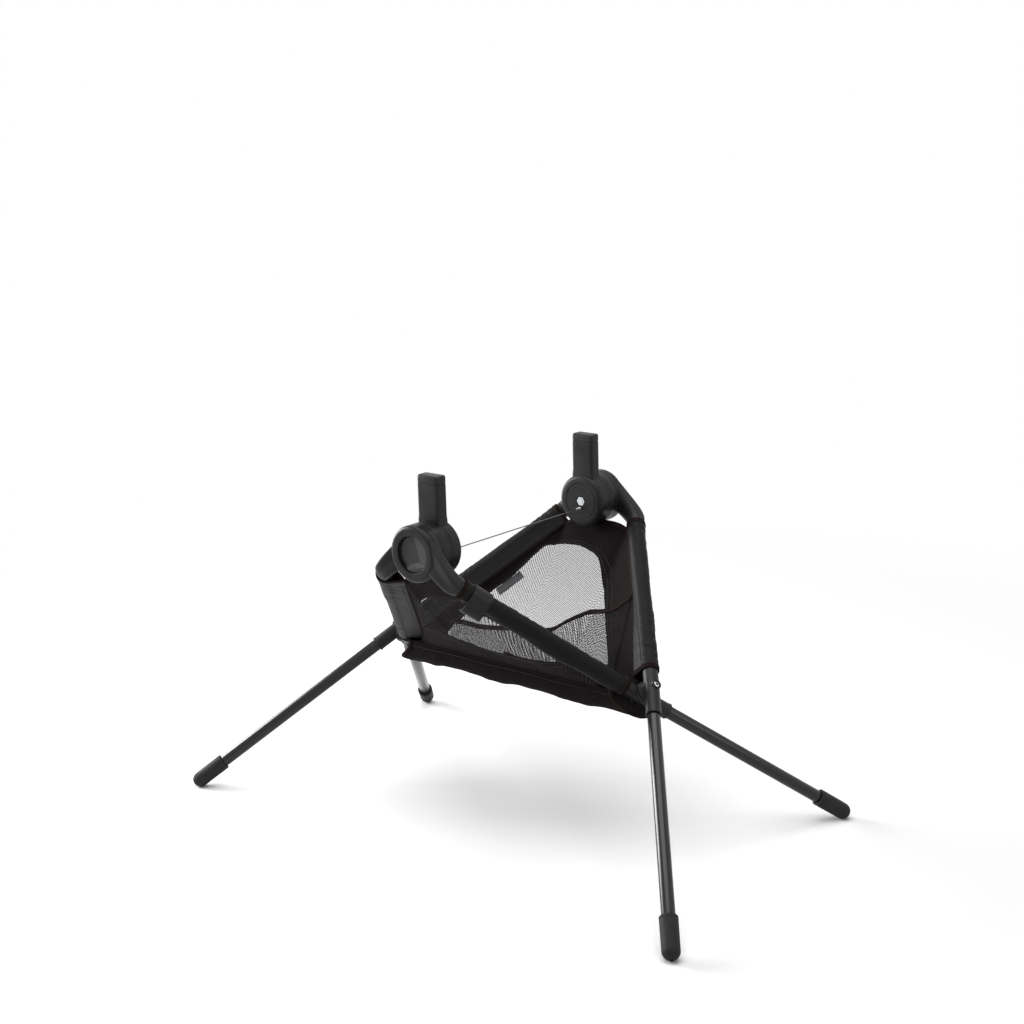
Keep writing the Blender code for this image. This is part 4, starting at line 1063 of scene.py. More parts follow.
class STAND_OT_arms(bpy.types.Operator):
    """Hub discs with the arms that run from them onto the poles"""

    bl_idname = "stand.arms"
    bl_label = "Arms"

    def execute(self, context):
        for name, body, pole in poles():
            front = pole.end == FRONT
            start, thickness = (0.0, FRONT_DISC) if front else (FRONT_DISC + GAP, BACK_DISC)
            matrix = hub_matrix(pole.side, start)
            shape = Shape()
            shape.lathe(self.disc(front, thickness), 112, matrix)
            rows = self.fairing(pole, start, thickness)
            if front:
                self.clear_recess(rows, matrix)
            shape.skin(rows, True)
            shape.lids(rows[0], rows[-1])
            build(f"{name}_hub_arm", shape, ["moulded_plastic"], body, f"{name}_arm", angle=32)
        return {"FINISHED"}

    def disc(self, front, thickness):
        """Profile of the disc: a broad rounded rim, and in front the recess of the button."""
        radius, recess = sizes().hub / 2, sizes().recess / 2
        broad, small, deep = 0.0056, 0.0008, 0.0125
        back_edge = arc((radius - small, thickness - small), small, 0, 90, 3) + [(BOLT_BORE, thickness)]
        if not front:
            return [(BOLT_BORE, 0)] + arc((radius - 0.001, 0.001), 0.001, -90, 0, 3) + back_edge
        floor = [(BOLT_BORE, 0.0170), (0.0140, 0.0170), (0.0140, deep), (recess, deep)]
        lip = arc((recess + small, small), small, 180, 270, 4)
        rim = arc((radius - broad, broad), broad, -90, 0, 12)
        rim += [(radius, 0.0092), (radius - 0.0006, 0.0095), (radius - 0.0006, 0.0101), (radius, 0.0104)]
        return floor + lip + rim + back_edge

    def fairing(self, pole, start, thickness):
        """Rings of the arm, which leaves the disc with a crisp ridge and turns round onto the pole."""
        steps, straight = 34, 0.0160
        root_half, root_lift = 0.0188, 0.0062
        down = Vector((pole.end * math.sin(pole.lean), 0, -math.cos(pole.lean)))
        across = Vector((pole.end * math.cos(pole.lean), 0, math.sin(pole.lean)))
        joint = pole.upper(pole.arm_end + straight)
        run_length = (ARM_LENGTH - straight) * math.cos(POLE_SPLAY)
        root = hub_point(pole.side, start + thickness / 2 + 0.0005)
        last_pull, first_pull = 0.18 * run_length, 0.5 * run_length
        joint_out = abs(joint.y) + math.tan(POLE_SPLAY) * last_pull
        run = (0, first_pull, run_length - last_pull, run_length)
        out = (abs(root.y), abs(root.y) + (joint_out - abs(root.y)) * 0.5, joint_out, abs(joint.y))
        deep = thickness / 2 - 0.0010
        rows = []
        for along in (step / steps for step in range(steps + 1)):
            ease = along * along * (3 - 2 * along)
            offset = ARM_OFFSET - root_lift * (1 - ease)
            centre = hub_point(pole.side, 0) + across * offset + down * bezier(*run, along)
            centre.y = pole.side * bezier(*out, along)
            travel = down * bezier_slope(*run, along)
            travel.y = pole.side * bezier_slope(*out, along)
            travel.normalize()
            wide = (across - travel * across.dot(travel)).normalized()
            outwards = Vector((0, pole.side, 0))
            outwards = (outwards - travel * outwards.dot(travel)).normalized()
            half_width = root_half * (1 - ease) + ARM_TIP_RADIUS * ease
            half_depth = deep * (1 - ease * ease) + ARM_TIP_RADIUS * ease * ease
            rows.append(self.ridged(centre, wide * half_width, outwards * half_depth, 1 - ease**2.2))
        end_wide = (across - pole.up * across.dot(pole.up)).normalized()
        end_deep = pole.up.cross(end_wide) * pole.side * pole.end
        end_deep *= math.copysign(1, end_deep.y * pole.side)
        for shrink, back in ((1.0, 0.0012), (0.97, 0.0004), (0.92, 0.0)):
            tip = ARM_TIP_RADIUS * shrink
            rows.append(self.ridged(pole.upper(pole.arm_end) + pole.up * back, end_wide * tip, end_deep * tip, 0))
        return rows

    def clear_recess(self, rows, matrix):
        """Keep the arm's root out of the button's recess: its points inside move out to the rim."""
        into, inner, depth = matrix.inverted(), sizes().recess / 2 + 0.0010, 0.0165
        for row in rows:
            for index, point in enumerate(row):
                flat = into @ point
                far = math.hypot(flat.x, flat.y)
                if far < inner and flat.z < depth:
                    scale = inner / max(far, 1e-6)
                    row[index] = matrix @ Vector((flat.x * scale, flat.y * scale, flat.z))

    def ridged(self, centre, width, depth, ridge):
        """Ring that is round where ridge is 0 and has two crisp outer corners where it is 1."""
        points, count, crisp = [], 72, ridge**0.7
        for step in range(count):
            angle = math.tau * (step + 0.5) / count
            c, s = math.cos(angle), math.sin(angle)
            corner = max(0.0, math.cos(angle - math.radians(45))) ** 8
            corner += 0.8 * max(0.0, math.cos(angle - math.radians(135))) ** 8
            power = 2 + crisp * (0.5 + 13 * corner)
            fullness = 1 / (abs(c) ** power + abs(s) ** power) ** (1 / power)
            fullness -= 0.16 * crisp * max(0.0, s) ** 6
            points.append(centre + (width * c + depth * s) * fullness)
        return points


class STAND_OT_hubs(bpy.types.Operator):
    """Hub drums with their posts, and the fasteners inside them"""

    bl_idname = "stand.hubs"
    bl_label = "Hubs"

    def execute(self, context):
        for side_name, side in SIDES.items():
            shape = Shape()
            shape.lathe(self.drum(DRUM_START, DRUM_END), 112, hub_matrix(side))
            self.post(shape, hub_point(side, DRUM_START + DRUM_LENGTH / 2 - 0.0030).y)
            build(f"{side_name}_hub_drum", shape, ["moulded_plastic"], f"{side_name}_hub",
                  f"{side_name}_hub_body")
            for part in ("hub_bolt", "hub_nut", "button_spring"):
                refinish(f"{side_name}_{part}", "turned_steel")
        return {"FINISHED"}

    def drum(self, start, end):
        """Profile of the drum: a stepped edge against the discs and a swelling back."""
        radius, pocket, soft = sizes().hub / 2, 0.0083, 0.0070
        profile = [(BOLT_BORE, start), (radius - 0.0006, start), (radius, start + 0.0006),
                   (radius, start + 0.0040)]
        profile += [(radius - 0.0007, start + 0.0044), (radius - 0.0007, start + 0.0050), (radius, start + 0.0054)]
        profile += arc((radius - soft, end - soft), soft, 0, 82, 12)
        profile += [(radius - 0.0120, end), (radius - 0.0125, end - 0.0006), (radius - 0.0135, end - 0.0006)]
        profile += [(radius - 0.0140, end)]
        return profile + [(pocket, end), (pocket, end - 0.0065), (BOLT_BORE, end - 0.0065)]

    def post(self, shape, middle):
        """Standing post with rounded corners, a flared foot and a crowned top."""
        rim, width, deep, top, round_corner = sizes().hub / 2, 0.0395, 0.0210, 0.1070, 0.0045
        levels = (  # height, flare, inset, groove
            (rim - 0.0095, 0.0012, 0, 0), (rim, 0.0012, 0, 0), (rim + 0.0030, 0.0006, 0, 0),
            (rim + 0.0060, 0.0002, 0, 0), (rim + 0.0090, 0, 0, 0), (top - 0.0125, 0, 0, 0),
            (top - 0.0120, 0, 0, 0.0005), (top - 0.0112, 0, 0, 0.0005), (top - 0.0107, 0, 0, 0),
            (top - 0.0030, 0, 0, 0), (top - 0.0019, 0, 0.0004, 0), (top - 0.0008, 0, 0.0012, 0),
            (top - 0.0001, 0, 0.0024, 0), (top, 0, 0.0030, 0),
        )
        rows = []
        for height, flare, inset, groove in levels:
            half_x, half_y = width / 2 + flare - inset - groove, deep / 2 - inset - groove
            corner, row = round_corner - inset, []
            for index, (sx, sy) in enumerate(((1, 1), (-1, 1), (-1, -1), (1, -1))):
                centre = (sx * (half_x - corner), sy * (half_y - corner))
                for x, y in arc(centre, corner, 90 * index, 90 * index + 90, 8):
                    row.append(Vector((x, middle + y, HUB_HEIGHT + height)))
            rows.append(row)
        shape.skin(rows, True)
        shape.lids(rows[-1], rows[0])


class STAND_OT_buttons(bpy.types.Operator):
    """Release buttons with their sunk, faceted faces"""

    bl_idname = "stand.buttons"
    bl_label = "Buttons"

    def execute(self, context):
        for side_name, side in SIDES.items():
            shape = Shape()
            self.face(shape, side)
            build(f"{side_name}_push_button", shape, ["polished_button"], f"{side_name}_button",
                  f"{side_name}_release_button", hub_matrix(side), 40)
        return {"FINISHED"}

    def face(self, shape, side):
        """Face in rings inside a rounded edge, and the button's wall."""
        radius, top, bottom, edge, count = sizes().recess / 2 - 0.0009, 0.0020, 0.0080, 0.0005, 240
        rows = []
        for share in spread(0.0, 1.0, 70):
            ring = circle(Matrix(), (radius - edge) * share, count)
            rows.append([Vector((p.x, p.y, top + self.sink(p.x, p.y, side))) for p in ring])
        wide = radius / (radius - edge)
        rim = [Vector((p.x * wide, p.y * wide, p.z + 0.0006)) for p in rows[-1]]
        base = [Vector((p.x, p.y, bottom)) for p in rim]
        shape.skin(rows + [rim, base], True)
        shape.lids(base)

    def sink(self, x, across, side):
        """Depth of the face: a sunk plane that comes out at the foot and on the right, turned a little."""
        up, turn = across * (-1 if side == NEAR else 1), math.radians(15)
        x, up = x * math.cos(turn) + up * math.sin(turn), up * math.cos(turn) - x * math.sin(turn)
        ledge = max(0.0, -0.0130 - up) * math.tan(math.radians(24))
        facet = max(0.0, x - 0.0078) * math.tan(math.radians(11))
        return max(0.0, 0.0034 - max(ledge, facet))


class STAND_OT_cable(bpy.types.Operator):
    """Spreader cable of twisted strands, held by a crimped ferrule at each hub"""

    bl_idname = "stand.cable"
    bl_label = "Cable"

    def execute(self, context):
        half, height = HUB_FACE_Y - DRUM_END, HUB_HEIGHT - 0.0112
        profile = [(0.0009, 0.0002), (0.0022, 0), (0.0022, 0.0012), (0.0019, 0.0016), (0.0019, 0.0030)]
        profile += [(0.0022, 0.0034), (0.0022, 0.0044), (0.0019, 0.0048), (0.0019, 0.0062), (0.0022, 0.0066)]
        profile += [(0.0021, 0.0078), (0.0012, 0.0080), (0.0011, 0.0060)]
        for name, side in SIDES.items():
            shape = Shape()
            shape.lathe(profile, 32, frame_matrix((0, side * (half - GAP), height), (0, -side, 0), (1, 0, 0)))
            build(f"{name}_ferrule", shape, ["turned_steel"], f"{name}_hub", f"{name}_cable_ferrule")
        reach, steps, twist, strands, lay = half - 4 * GAP, 220, 0.0125, 6, 0.0006
        shape = Shape()
        for strand in range(strands):
            path = []
            for y in spread(-reach, reach, steps):
                a = math.tau * (y / twist + strand / strands)
                path.append(Vector((lay * math.cos(a), y, height + lay * math.sin(a))))
            shape.tube(path, lay / 2, 6, Vector((1, 0, 0)))
        build("spreader_cable_strands", shape, ["strand_steel"], "near_hub", "spreader_cable",
              angle=60, weld=1e-7)
        return {"FINISHED"}


class STAND_OT_inner_tubes(bpy.types.Operator):
    """Finish of the upper tubes, which the sleeves hide"""

    bl_idname = "stand.inner_tubes"
    bl_label = "Inner tubes"

    def execute(self, context):
        for name, _, _ in poles():
            refinish(f"{name}_upper_tube", "gloss_paint")
        return {"FINISHED"}


# ---------------------------------------------------------------- the sling


def squashed(item):
    """Give a piece of the sling its own copy of its mesh."""
    footprint_shift()
    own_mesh(item)


def sleeve_span(pole):
    return pole.arm_end + SLEEVE_OVER_ARM - SLEEVE_START


def tail_length(end, share):
    """Distance from the tube's axis to the edge of the sleeve's tail, at a share of the sleeve's length."""
    low, middle, high = TAILS[end]
    return low + (middle - low) * share * 2 if share < 0.5 else middle + (high - middle) * (share * 2 - 1)


def drop_section(tail):
    """Closed section of a sleeve: round the tube, then straight to the edge of its tail."""
    edge = 0.0009
    tangent = math.acos(SLEEVE_RADIUS / tail)
    meet = Vector((SLEEVE_RADIUS * math.cos(tangent), SLEEVE_RADIUS * math.sin(tangent), 0))
    half = [Vector((tail, 0, 0)), Vector((tail - 0.0004, edge, 0))]
    half += [Vector((tail - 0.0012, edge * 1.5, 0)).lerp(meet, share) for share in spread(0.0, 1.0, 20)]
    for angle in spread(tangent, math.pi, 26)[1:]:
        half.append(Vector((SLEEVE_RADIUS * math.cos(angle), SLEEVE_RADIUS * math.sin(angle), 0)))
    return half + [Vector((p.x, -p.y, 0)) for p in half[-2:0:-1]]


class Sleeve:
    """Cloth sleeve of one pole, along the matrix's Z, with its tail towards the matrix's X."""

    WELT, SEAM, TAIL = 21, 19, 5  # columns of the section, counted from the tail's edge
    MIDDLE = Vector((0.004, 0, 0))

    def __init__(self, pole, seed):
        self.pole, self.seed, self.span = pole, seed, sleeve_span(pole)
        self.matrix = frame_matrix(pole.upper(SLEEVE_START), pole.up, pole.inward)
        self.flat = drop_section(tail_length(pole.end, 0.5))
        self.outs = [self.out(j) for j in range(len(self.flat))]
        self.rounds = running(self.flat + self.flat[:1])
        self.clipped = pole.side == NEAR and pole.end == FRONT
        self.clip_place = self.span - SLEEVE_OVER_ARM - CLIP_FROM_ARM_END
        down = self.matrix.inverted().to_3x3() @ Vector((0, pole.side * 0.67, -0.74))
        self.fold_angle = math.copysign(math.radians(80), down.y)

    def section(self, along):
        """Section at a height: the tail as long as the pattern has it, wider where it covers the arm's end."""
        cover = self.span - SLEEVE_OVER_ARM
        wide = 1 + 0.085 * smooth(along, cover - 0.006, cover + 0.001)
        return [p * wide for p in drop_section(tail_length(self.pole.end, along / self.span))]

    def out(self, j):
        """Outward direction of the section at a point."""
        edge = self.flat[(j + 1) % len(self.flat)] - self.flat[j - 1]
        normal = Vector((edge.y, -edge.x, 0)).normalized()
        return normal if normal.dot(self.flat[j] - self.MIDDLE) > 0 else -normal

    def wrinkle(self, j, along):
        """Folds that run round the tube and fan out from the seam, flat under the clip and at the ends."""
        point = self.flat[j]
        angle, turn = math.atan2(point.y, point.x), 1 if point.y > 0 else -1
        seed = self.seed * 7.3 + (3.1 if point.y > 0 else 0.0)
        fold = noise.noise(Vector((along * 95 - point.x * 60 * turn, seed, abs(angle) * 0.4)))
        sharp = (1 - abs(fold) * 2.6) if abs(fold) < 0.38 else 0.0
        patch = smooth(noise.noise(Vector((along * 14, seed + 9, 0.5))), -0.25, 0.35)
        slow = noise.noise(Vector((along * 17, seed + 5, angle * 0.7)))
        on_tube = smooth(-point.x, -0.0160, -0.0040)
        height = sharp * (0.25 + 0.9 * patch) * (0.35 + 0.65 * on_tube) + slow * 0.6
        height *= sizes().wrinkle * 0.75
        height *= smooth(along, 0.002, 0.025) * smooth(self.span - along, 0.002, 0.025)
        return self.slack(height, along, angle) if self.clipped else height

    def slack(self, height, along, angle):
        """Height with the sleeve pressed flat by the clip, and a slack fold hanging below it."""
        off_clip = abs(along - self.clip_place)
        height *= 1 - 0.9 * (1 - smooth(off_clip, 0.016, 0.024))
        height = min(height, 0.0002) if off_clip < 0.018 else height
        slack = smooth(along, 0.0, 0.05) * smooth(self.clip_place - 0.016 - along, 0.0, 0.05)
        towards = max(0.0, math.cos(angle - self.fold_angle))
        return height + 0.0046 * slack * towards**3 * (0.7 + 0.3 * math.sin(along * 47 + angle * 1.5))

    def cloth(self, shape):
        """The cloth, its two ends turned in."""
        stations = spread(0.0, self.span, 170)
        rows = []
        for along in stations:
            points = enumerate(self.section(along))
            rows.append([p + self.outs[j] * self.wrinkle(j, along) + Vector((0, 0, along)) for j, p in points])
        low, high = (0.012, 0.0), (self.span, self.span - 0.012)
        ends = [[[Vector((p.x * thin - 0.0002, p.y * narrow, height)) for p in self.section(height)]
                 for height in heights] for thin, narrow, heights in ((0.93, 0.9, low), (0.95, 0.93, high))]
        heights = [*low, *stations, *high]
        shape.skin(ends[0] + rows + ends[1], True, 0, lambda i, j: (self.rounds[j], heights[i]))

    def binding(self, shape, end, inward):
        """Tape folded over one end of the sleeve, sewn in two half rounds."""
        wide = sizes().binding
        profile = ((0.004, -0.0012), (-0.0003, -0.0009), (-0.0008, 0.0), (-0.0002, 0.0007), (0.0012, 0.0009),
                   (wide / 2, 0.0008), (wide - 0.0010, 0.0009), (wide, 0.0006), (wide + 0.0003, -0.0003))
        heights = [end + inward * along for along, _ in profile]
        rows = [self.ring(height, lift) for height, (_, lift) in zip(heights, profile)]
        shape.skin(rows, True, 1, lambda i, j: (self.rounds[j], heights[i]))
        ring = self.ring(end + inward * (wide - 0.0017), 0.0009)
        half = len(ring) // 2
        for path in (ring[:half], ring[half:]):
            shape.stitches(path, lambda share, path=path: self.away(path, share))

    def ring(self, height, lift):
        """Section at a height, lifted off the cloth."""
        return [p + self.outs[j] * lift + Vector((0, 0, height)) for j, p in enumerate(self.section(height))]

    def away(self, path, share):
        point = path[min(int(share * len(path)), len(path) - 1)]
        return (Vector((point.x, point.y, 0)) - self.MIDDLE).normalized()

    def seams(self, shape):
        """Welt where the cloth leaves the tube, and a row of stitches along it and along the tail."""
        for column in (self.WELT, self.SEAM, self.TAIL):
            for j in (column, len(self.flat) - column):
                path = []
                for along in spread(0.009, self.span - 0.009, 120):
                    lift = self.wrinkle(j, along) + 0.0001
                    path.append(self.section(along)[j] + self.outs[j] * lift + Vector((0, 0, along)))
                if column == self.WELT:
                    shape.tube(path, 0.0005, 6, self.outs[j])
                else:
                    shape.stitches(path, self.outs[j])


class STAND_OT_sleeves(bpy.types.Operator):
    """Cloth sleeves round the upper tubes, with the tails that the panels hang from"""

    bl_idname = "stand.sleeves"
    bl_label = "Sleeves"

    def execute(self, context):
        for seed, (name, body, pole) in enumerate(poles()):
            sleeve, shape = Sleeve(pole, seed), Shape()
            sleeve.cloth(shape)
            sleeve.binding(shape, 0.0, 1)
            sleeve.binding(shape, sleeve.span, -1)
            sleeve.seams(shape)
            # The near back sleeve takes the lit copy of the cloth: painted light from the left
            cloth = "painted_light_sleeve_cloth" if name == "near_back" else "coated_sleeve_cloth"
            item = build(f"{name}_sleeve_cloth", shape, [cloth, "binding_tape", "sewing_thread"], body,
                         f"{name}_sleeve", sleeve.matrix, 70)
        return {"FINISHED"}


@functools.lru_cache(None)
def tail_line(side, end):
    """Points along the edge of one sleeve's tail, from its foot to its head."""
    pole, points = Pole(side, end), []
    for share in spread(0.0, TAIL_HEAD, 24):
        along = SLEEVE_START + sleeve_span(pole) * share
        points.append(pole.upper(along) + pole.inward * (tail_length(end, share) + GAP))
    return points


def panel_line(side, x):
    """Top edge of a panel at x: between the arms a low arch, then down the sleeves' tails to a corner flap."""
    arch, flap, flap_slope = 0.010, 0.018, 0.8
    back, front = tail_line(side, BACK)[-1], tail_line(side, FRONT)[-1]
    if back.x <= x <= front.x:
        point = back.lerp(front, (x - back.x) / (front.x - back.x))
        off_middle = (2 * x - back.x - front.x) / (front.x - back.x)
        return Vector((x, point.y, point.z + arch * (1 - off_middle**4)))
    edge = tail_line(side, FRONT if x > 0 else BACK)
    for a, b in zip(edge, edge[1:]):
        if abs(b.x) <= abs(x) <= abs(a.x):
            point = a.lerp(b, (abs(x) - abs(a.x)) / (abs(b.x) - abs(a.x)))
            return Vector((x, point.y, point.z))
    return Vector((x, edge[0].y, edge[0].z + min(flap_slope * (abs(x) - abs(edge[0].x)), flap)))


def panel_seam(side, x):
    y, z = SEAMS[side]
    return Vector((x, side * y, z))


def panel_height(side, x):
    return (panel_line(side, x) - panel_seam(side, x)).length


def panel_point(side, x, down, lift=0.0):
    """Point of a panel: down is 0 at its top edge and 1 at its seam; lift is towards the sling's inside."""
    top, seam = panel_line(side, x), panel_seam(side, x)
    belly = math.sin(math.pi * min(max(down, 0.0), 1.0))
    bulge = belly * 0.05 * (top - seam).length
    soft = noise.noise(Vector((x * 14, down * 2.5, side * 4.0))) * 0.0022
    soft += noise.noise(Vector((x * 45, down * 6.0, side * 9.0))) * 0.0007
    return top.lerp(seam, down) + Vector((0, side * bulge, -bulge)) * 0.5 + inwards(side) * (lift + soft * belly)


def outline(corners, count, closed=False):
    """Smooth line through (x, down) corners of a panel, evened out in about equal lengths."""
    squeeze = 0.3
    line = through([Vector((x, down * squeeze, 0)) for x, down in corners], count, closed)
    return [Vector((p.x, p.y / squeeze)) for p in line]


class STAND_OT_panels(bpy.types.Operator):
    """Near and far panels: lined borders round a net window"""

    bl_idname = "stand.panels"
    bl_label = "Panels"

    ENDS_X = {"near": (-0.1830, 0.1930), "far": (-0.2050, 0.2230)}
    SEAM_ENDS_X = {"near": (-0.2100, 0.2120), "far": (-0.2350, 0.2430)}
    CENTRES = {"far": (-0.0100, 0.560), "near": (0.0050, 0.420)}
    WINDOWS = {
        "far": (
            (-0.0768, 0.098), (-0.0729, 0.092), (-0.0678, 0.102), (-0.0536, 0.158), (-0.0313, 0.176),
            (-0.0068, 0.182), (0.0123, 0.202), (0.0259, 0.221), (0.0370, 0.252), (0.0469, 0.305), (0.0633, 0.405),
            (0.0876, 0.500), (0.1149, 0.633), (0.1332, 0.782), (0.1290, 0.880), (0.1130, 0.930), (0.0331, 0.958),
            (-0.0515, 0.972), (-0.1096, 0.960), (-0.1500, 0.920), (-0.1685, 0.845), (-0.1748, 0.735),
            (-0.1745, 0.610), (-0.1633, 0.465), (-0.1299, 0.240), (-0.1077, 0.206), (-0.0939, 0.156),
            (-0.0838, 0.115),
        ),
        "near": (
            (-0.0566, 0.238), (-0.0400, 0.222), (-0.0225, 0.204), (0.0307, 0.190), (0.0800, 0.200),
            (0.1180, 0.260), (0.1340, 0.360), (0.1310, 0.500), (0.1100, 0.640), (0.0750, 0.770), (0.0339, 0.828),
            (-0.0050, 0.795), (-0.0368, 0.730), (-0.0621, 0.610), (-0.1000, 0.430), (-0.1200, 0.320),
            (-0.1110, 0.266), (-0.0910, 0.246),
        ),
    }
    BORDER, NET, THREAD, TAPE = range(4)

    def execute(self, context):
        for name, side in SIDES.items():
            self.panel(name, side)
        return {"FINISHED"}

    def panel(self, name, side):
        low, high = self.ENDS_X[name]
        seam_low, seam_high = self.SEAM_ENDS_X[name]
        ends = [Vector(p) for p in ((high, 0.0), (seam_high, 1.0), (seam_low, 1.0), (low, 0.0))]
        centre = Vector(self.CENTRES[name])
        angles = spread(0.0, math.tau, 420)[:-1]
        window = outline(self.WINDOWS[name], 260, True)
        inner, outer = ([self.meet(line, centre, a) for a in angles] for line in (window, ends))
        shape = Shape()
        self.cloth(shape, side, [[a.lerp(b, k) for a, b in zip(inner, outer)] for k in spread(0.0, 1.0, 14)],
                   self.BORDER)
        self.cloth(shape, side, [[centre.lerp(b, k) for b in inner] for k in spread(0.0, 1.0, 16)], self.NET)
        for share in (0.06, 0.15):
            line = [a.lerp(b, share) for a, b in zip(inner, outer)]
            for lift in (0.0003, -0.0003):
                self.stitching(shape, [panel_point(side, p.x, p.y) + inwards(side) * lift for p in line],
                               inwards(side) * math.copysign(1, lift))
        self.hem(shape, side, low, high)
        net = "window_net" if side == FAR else "facing_net"
        item = build(f"{name}_panel_cloth", shape, ["lined_border", net, "sewing_thread", "binding_tape"],
                     "sling", f"{name}_panel", angle=80, solid=False)
        self.outward(item, side)
        tall = max(panel_height(side, x / 100) for x in range(-15, 16))
        squashed(item)

    def cloth(self, shape, side, flat, finish):
        """Skin over closed rows of (x, down) points."""
        wide = len(flat[0])

        def uv(i, j):
            p = flat[i][j % wide]
            return p.x, p.y * panel_height(side, p.x)

        shape.skin([[panel_point(side, p.x, p.y) for p in row] for row in flat], True, finish, uv)

    def stitching(self, shape, path, lift):
        """Stitches round the window, sewn in four runs."""
        quarter = len(path) // 4
        for k in range(4):
            shape.stitches(path[k * quarter:(k + 1) * quarter + 1], lift, 0.0040, self.THREAD)

    def hem(self, shape, side, low, high):
        """Binding along the top edge between the arms and down the tails."""
        wide, stations = sizes().binding, spread(low * 0.99, high * 0.99, 160)
        profile = ((wide, 0.0003), (wide, 0.0009), (0.0, 0.0010), (-0.0006, 0.0), (0.0, -0.0008),
                   (wide, -0.0008), (wide, -0.0002))
        rows = [[panel_point(side, x, down_by / max(panel_height(side, x), 0.02)) + inwards(side) * lift
                 for x in stations] for down_by, lift in profile]
        shape.skin(rows, False, self.TAPE, lambda i, j: (stations[j], i * 0.004))

    def outward(self, item, side):
        """Turn the faces of the cloth so that their fronts look out of the sling."""
        bm = bmesh.new()
        bm.from_mesh(item.data)
        cloth = [face for face in bm.faces if face.material_index in (self.BORDER, self.NET)]
        wrong = [face for face in cloth if face.normal.dot(Vector((0, side, -0.85))) < 0]
        bmesh.ops.reverse_faces(bm, faces=wrong)
        bm.to_mesh(item.data)
        bm.free()

    def meet(self, line, centre, angle):
        """Where a ray from the centre meets a closed line; the ray's way is scaled to the panel's shape."""
        way = Vector((math.cos(angle) * 0.17, math.sin(angle) * 0.5))
        met = []
        for a, b in zip(line, line[1:] + line[:1]):
            edge, gap = b - a, a - centre
            cross = way.x * edge.y - way.y * edge.x
            if abs(cross) < 1e-12:
                continue
            t = (gap.x * edge.y - gap.y * edge.x) / cross
            u = (gap.x * way.y - gap.y * way.x) / cross
            if t > 0 and -1e-9 <= u <= 1 + 1e-9:
                met.append(t)
        if not met:
            raise RuntimeError("the panel's outline isn't closed")
        return centre + way * min(met)


class STAND_OT_floor_cloth(bpy.types.Operator):
    """Floor of the sling: a baggy trough of plain cloth with bound ends"""

    bl_idname = "stand.floor_cloth"
    bl_label = "Sling floor"

    COLUMNS, AROUND = 190, 60

    def execute(self, context):
        rows = [[self.point(share, k / self.AROUND) for k in range(self.AROUND + 1)]
                for share in (2 * i / self.COLUMNS - 1 for i in range(self.COLUMNS + 1))]
        steps = running(rows[self.COLUMNS // 2])
        shape = Shape()
        shape.skin(rows, False, 0, lambda i, j: (i * 0.44 / self.COLUMNS, steps[j]))
        for end in (-1, 1):
            self.hem(shape, end)
        for side, along_seam in ((NEAR, 0.03), (FAR, 0.97)):
            path = [self.point(share, along_seam, -0.0004) for share in spread(-0.99, 0.99, 120)]
            shape.stitches(path, Vector((0, side, -0.4)).normalized(), 0.0040)
        item = build("sling_floor_cloth", shape, ["woven_sling_cloth", "binding_tape", "sewing_thread"],
                     "sling", "basket_floor", angle=80, solid=False)
        squashed(item)
        return {"FINISHED"}

    def point(self, share, round_share, lift=0.0):
        """Point of the trough: share runs from back to front, round_share from the near seam to the far one."""
        angle = math.pi * round_share
        belly = math.sin(angle)
        x = share * ((0.1960 if share < 0 else 0.2060) + 0.0300 * smooth(belly, 0.0, 0.9))
        mixed = (1 - math.cos(angle)) / 2
        (near_y, near_z), (far_y, far_z) = SEAMS[NEAR], SEAMS[FAR]
        bottom = 0.1935 + 0.0022 * math.sin(share * 9.1) + 0.0016 * noise.noise(Vector((x * 26, 1.7, 0)))
        y = (-near_y if angle < math.pi / 2 else -far_y) * math.cos(angle) * (1 + 0.10 * belly)
        z = near_z + (far_z - near_z) * mixed + (bottom - (near_z + far_z) / 2) * belly**0.62
        out = Vector((0, -math.cos(angle), -belly)).normalized()
        fold = noise.noise(Vector((x * 30 + y * 40, y * 12, 3.3)))
        crease = max(0.0, 1 - abs(noise.noise(Vector((x * 22 - abs(y) * 55, y * 9, 8.1)))) * 7)
        calm_end = 0.45 + 0.55 * smooth(1 - abs(share), 0.0, 0.10)
        depth = (0.0020 * fold + 0.0008 * crease) * smooth(belly, 0.05, 0.4) * calm_end
        return Vector((x, y, z)) + out * (depth - lift)

    def hem(self, shape, end):
        """Tape folded over an open end of the trough."""
        rows = []
        for along, lift in ((0.008, 0.0006), (0.0078, 0.0011), (0.0, 0.0012), (-0.0008, 0.0), (0.0, -0.0012),
                            (0.0078, -0.0011), (0.008, -0.0006)):
            row, share = [], end * min(1 - along / 0.225, 1.0)
            for k in range(self.AROUND + 1):
                point = self.point(share, k / self.AROUND)
                out = (point - Vector((point.x, 0, 0.2350))).normalized()
                row.append(point + out * lift + Vector((end * max(0.0, -along), 0, 0)))
            rows.append(row)
        shape.skin(rows, False, 1, lambda i, j: (j * 0.002, i * 0.004))


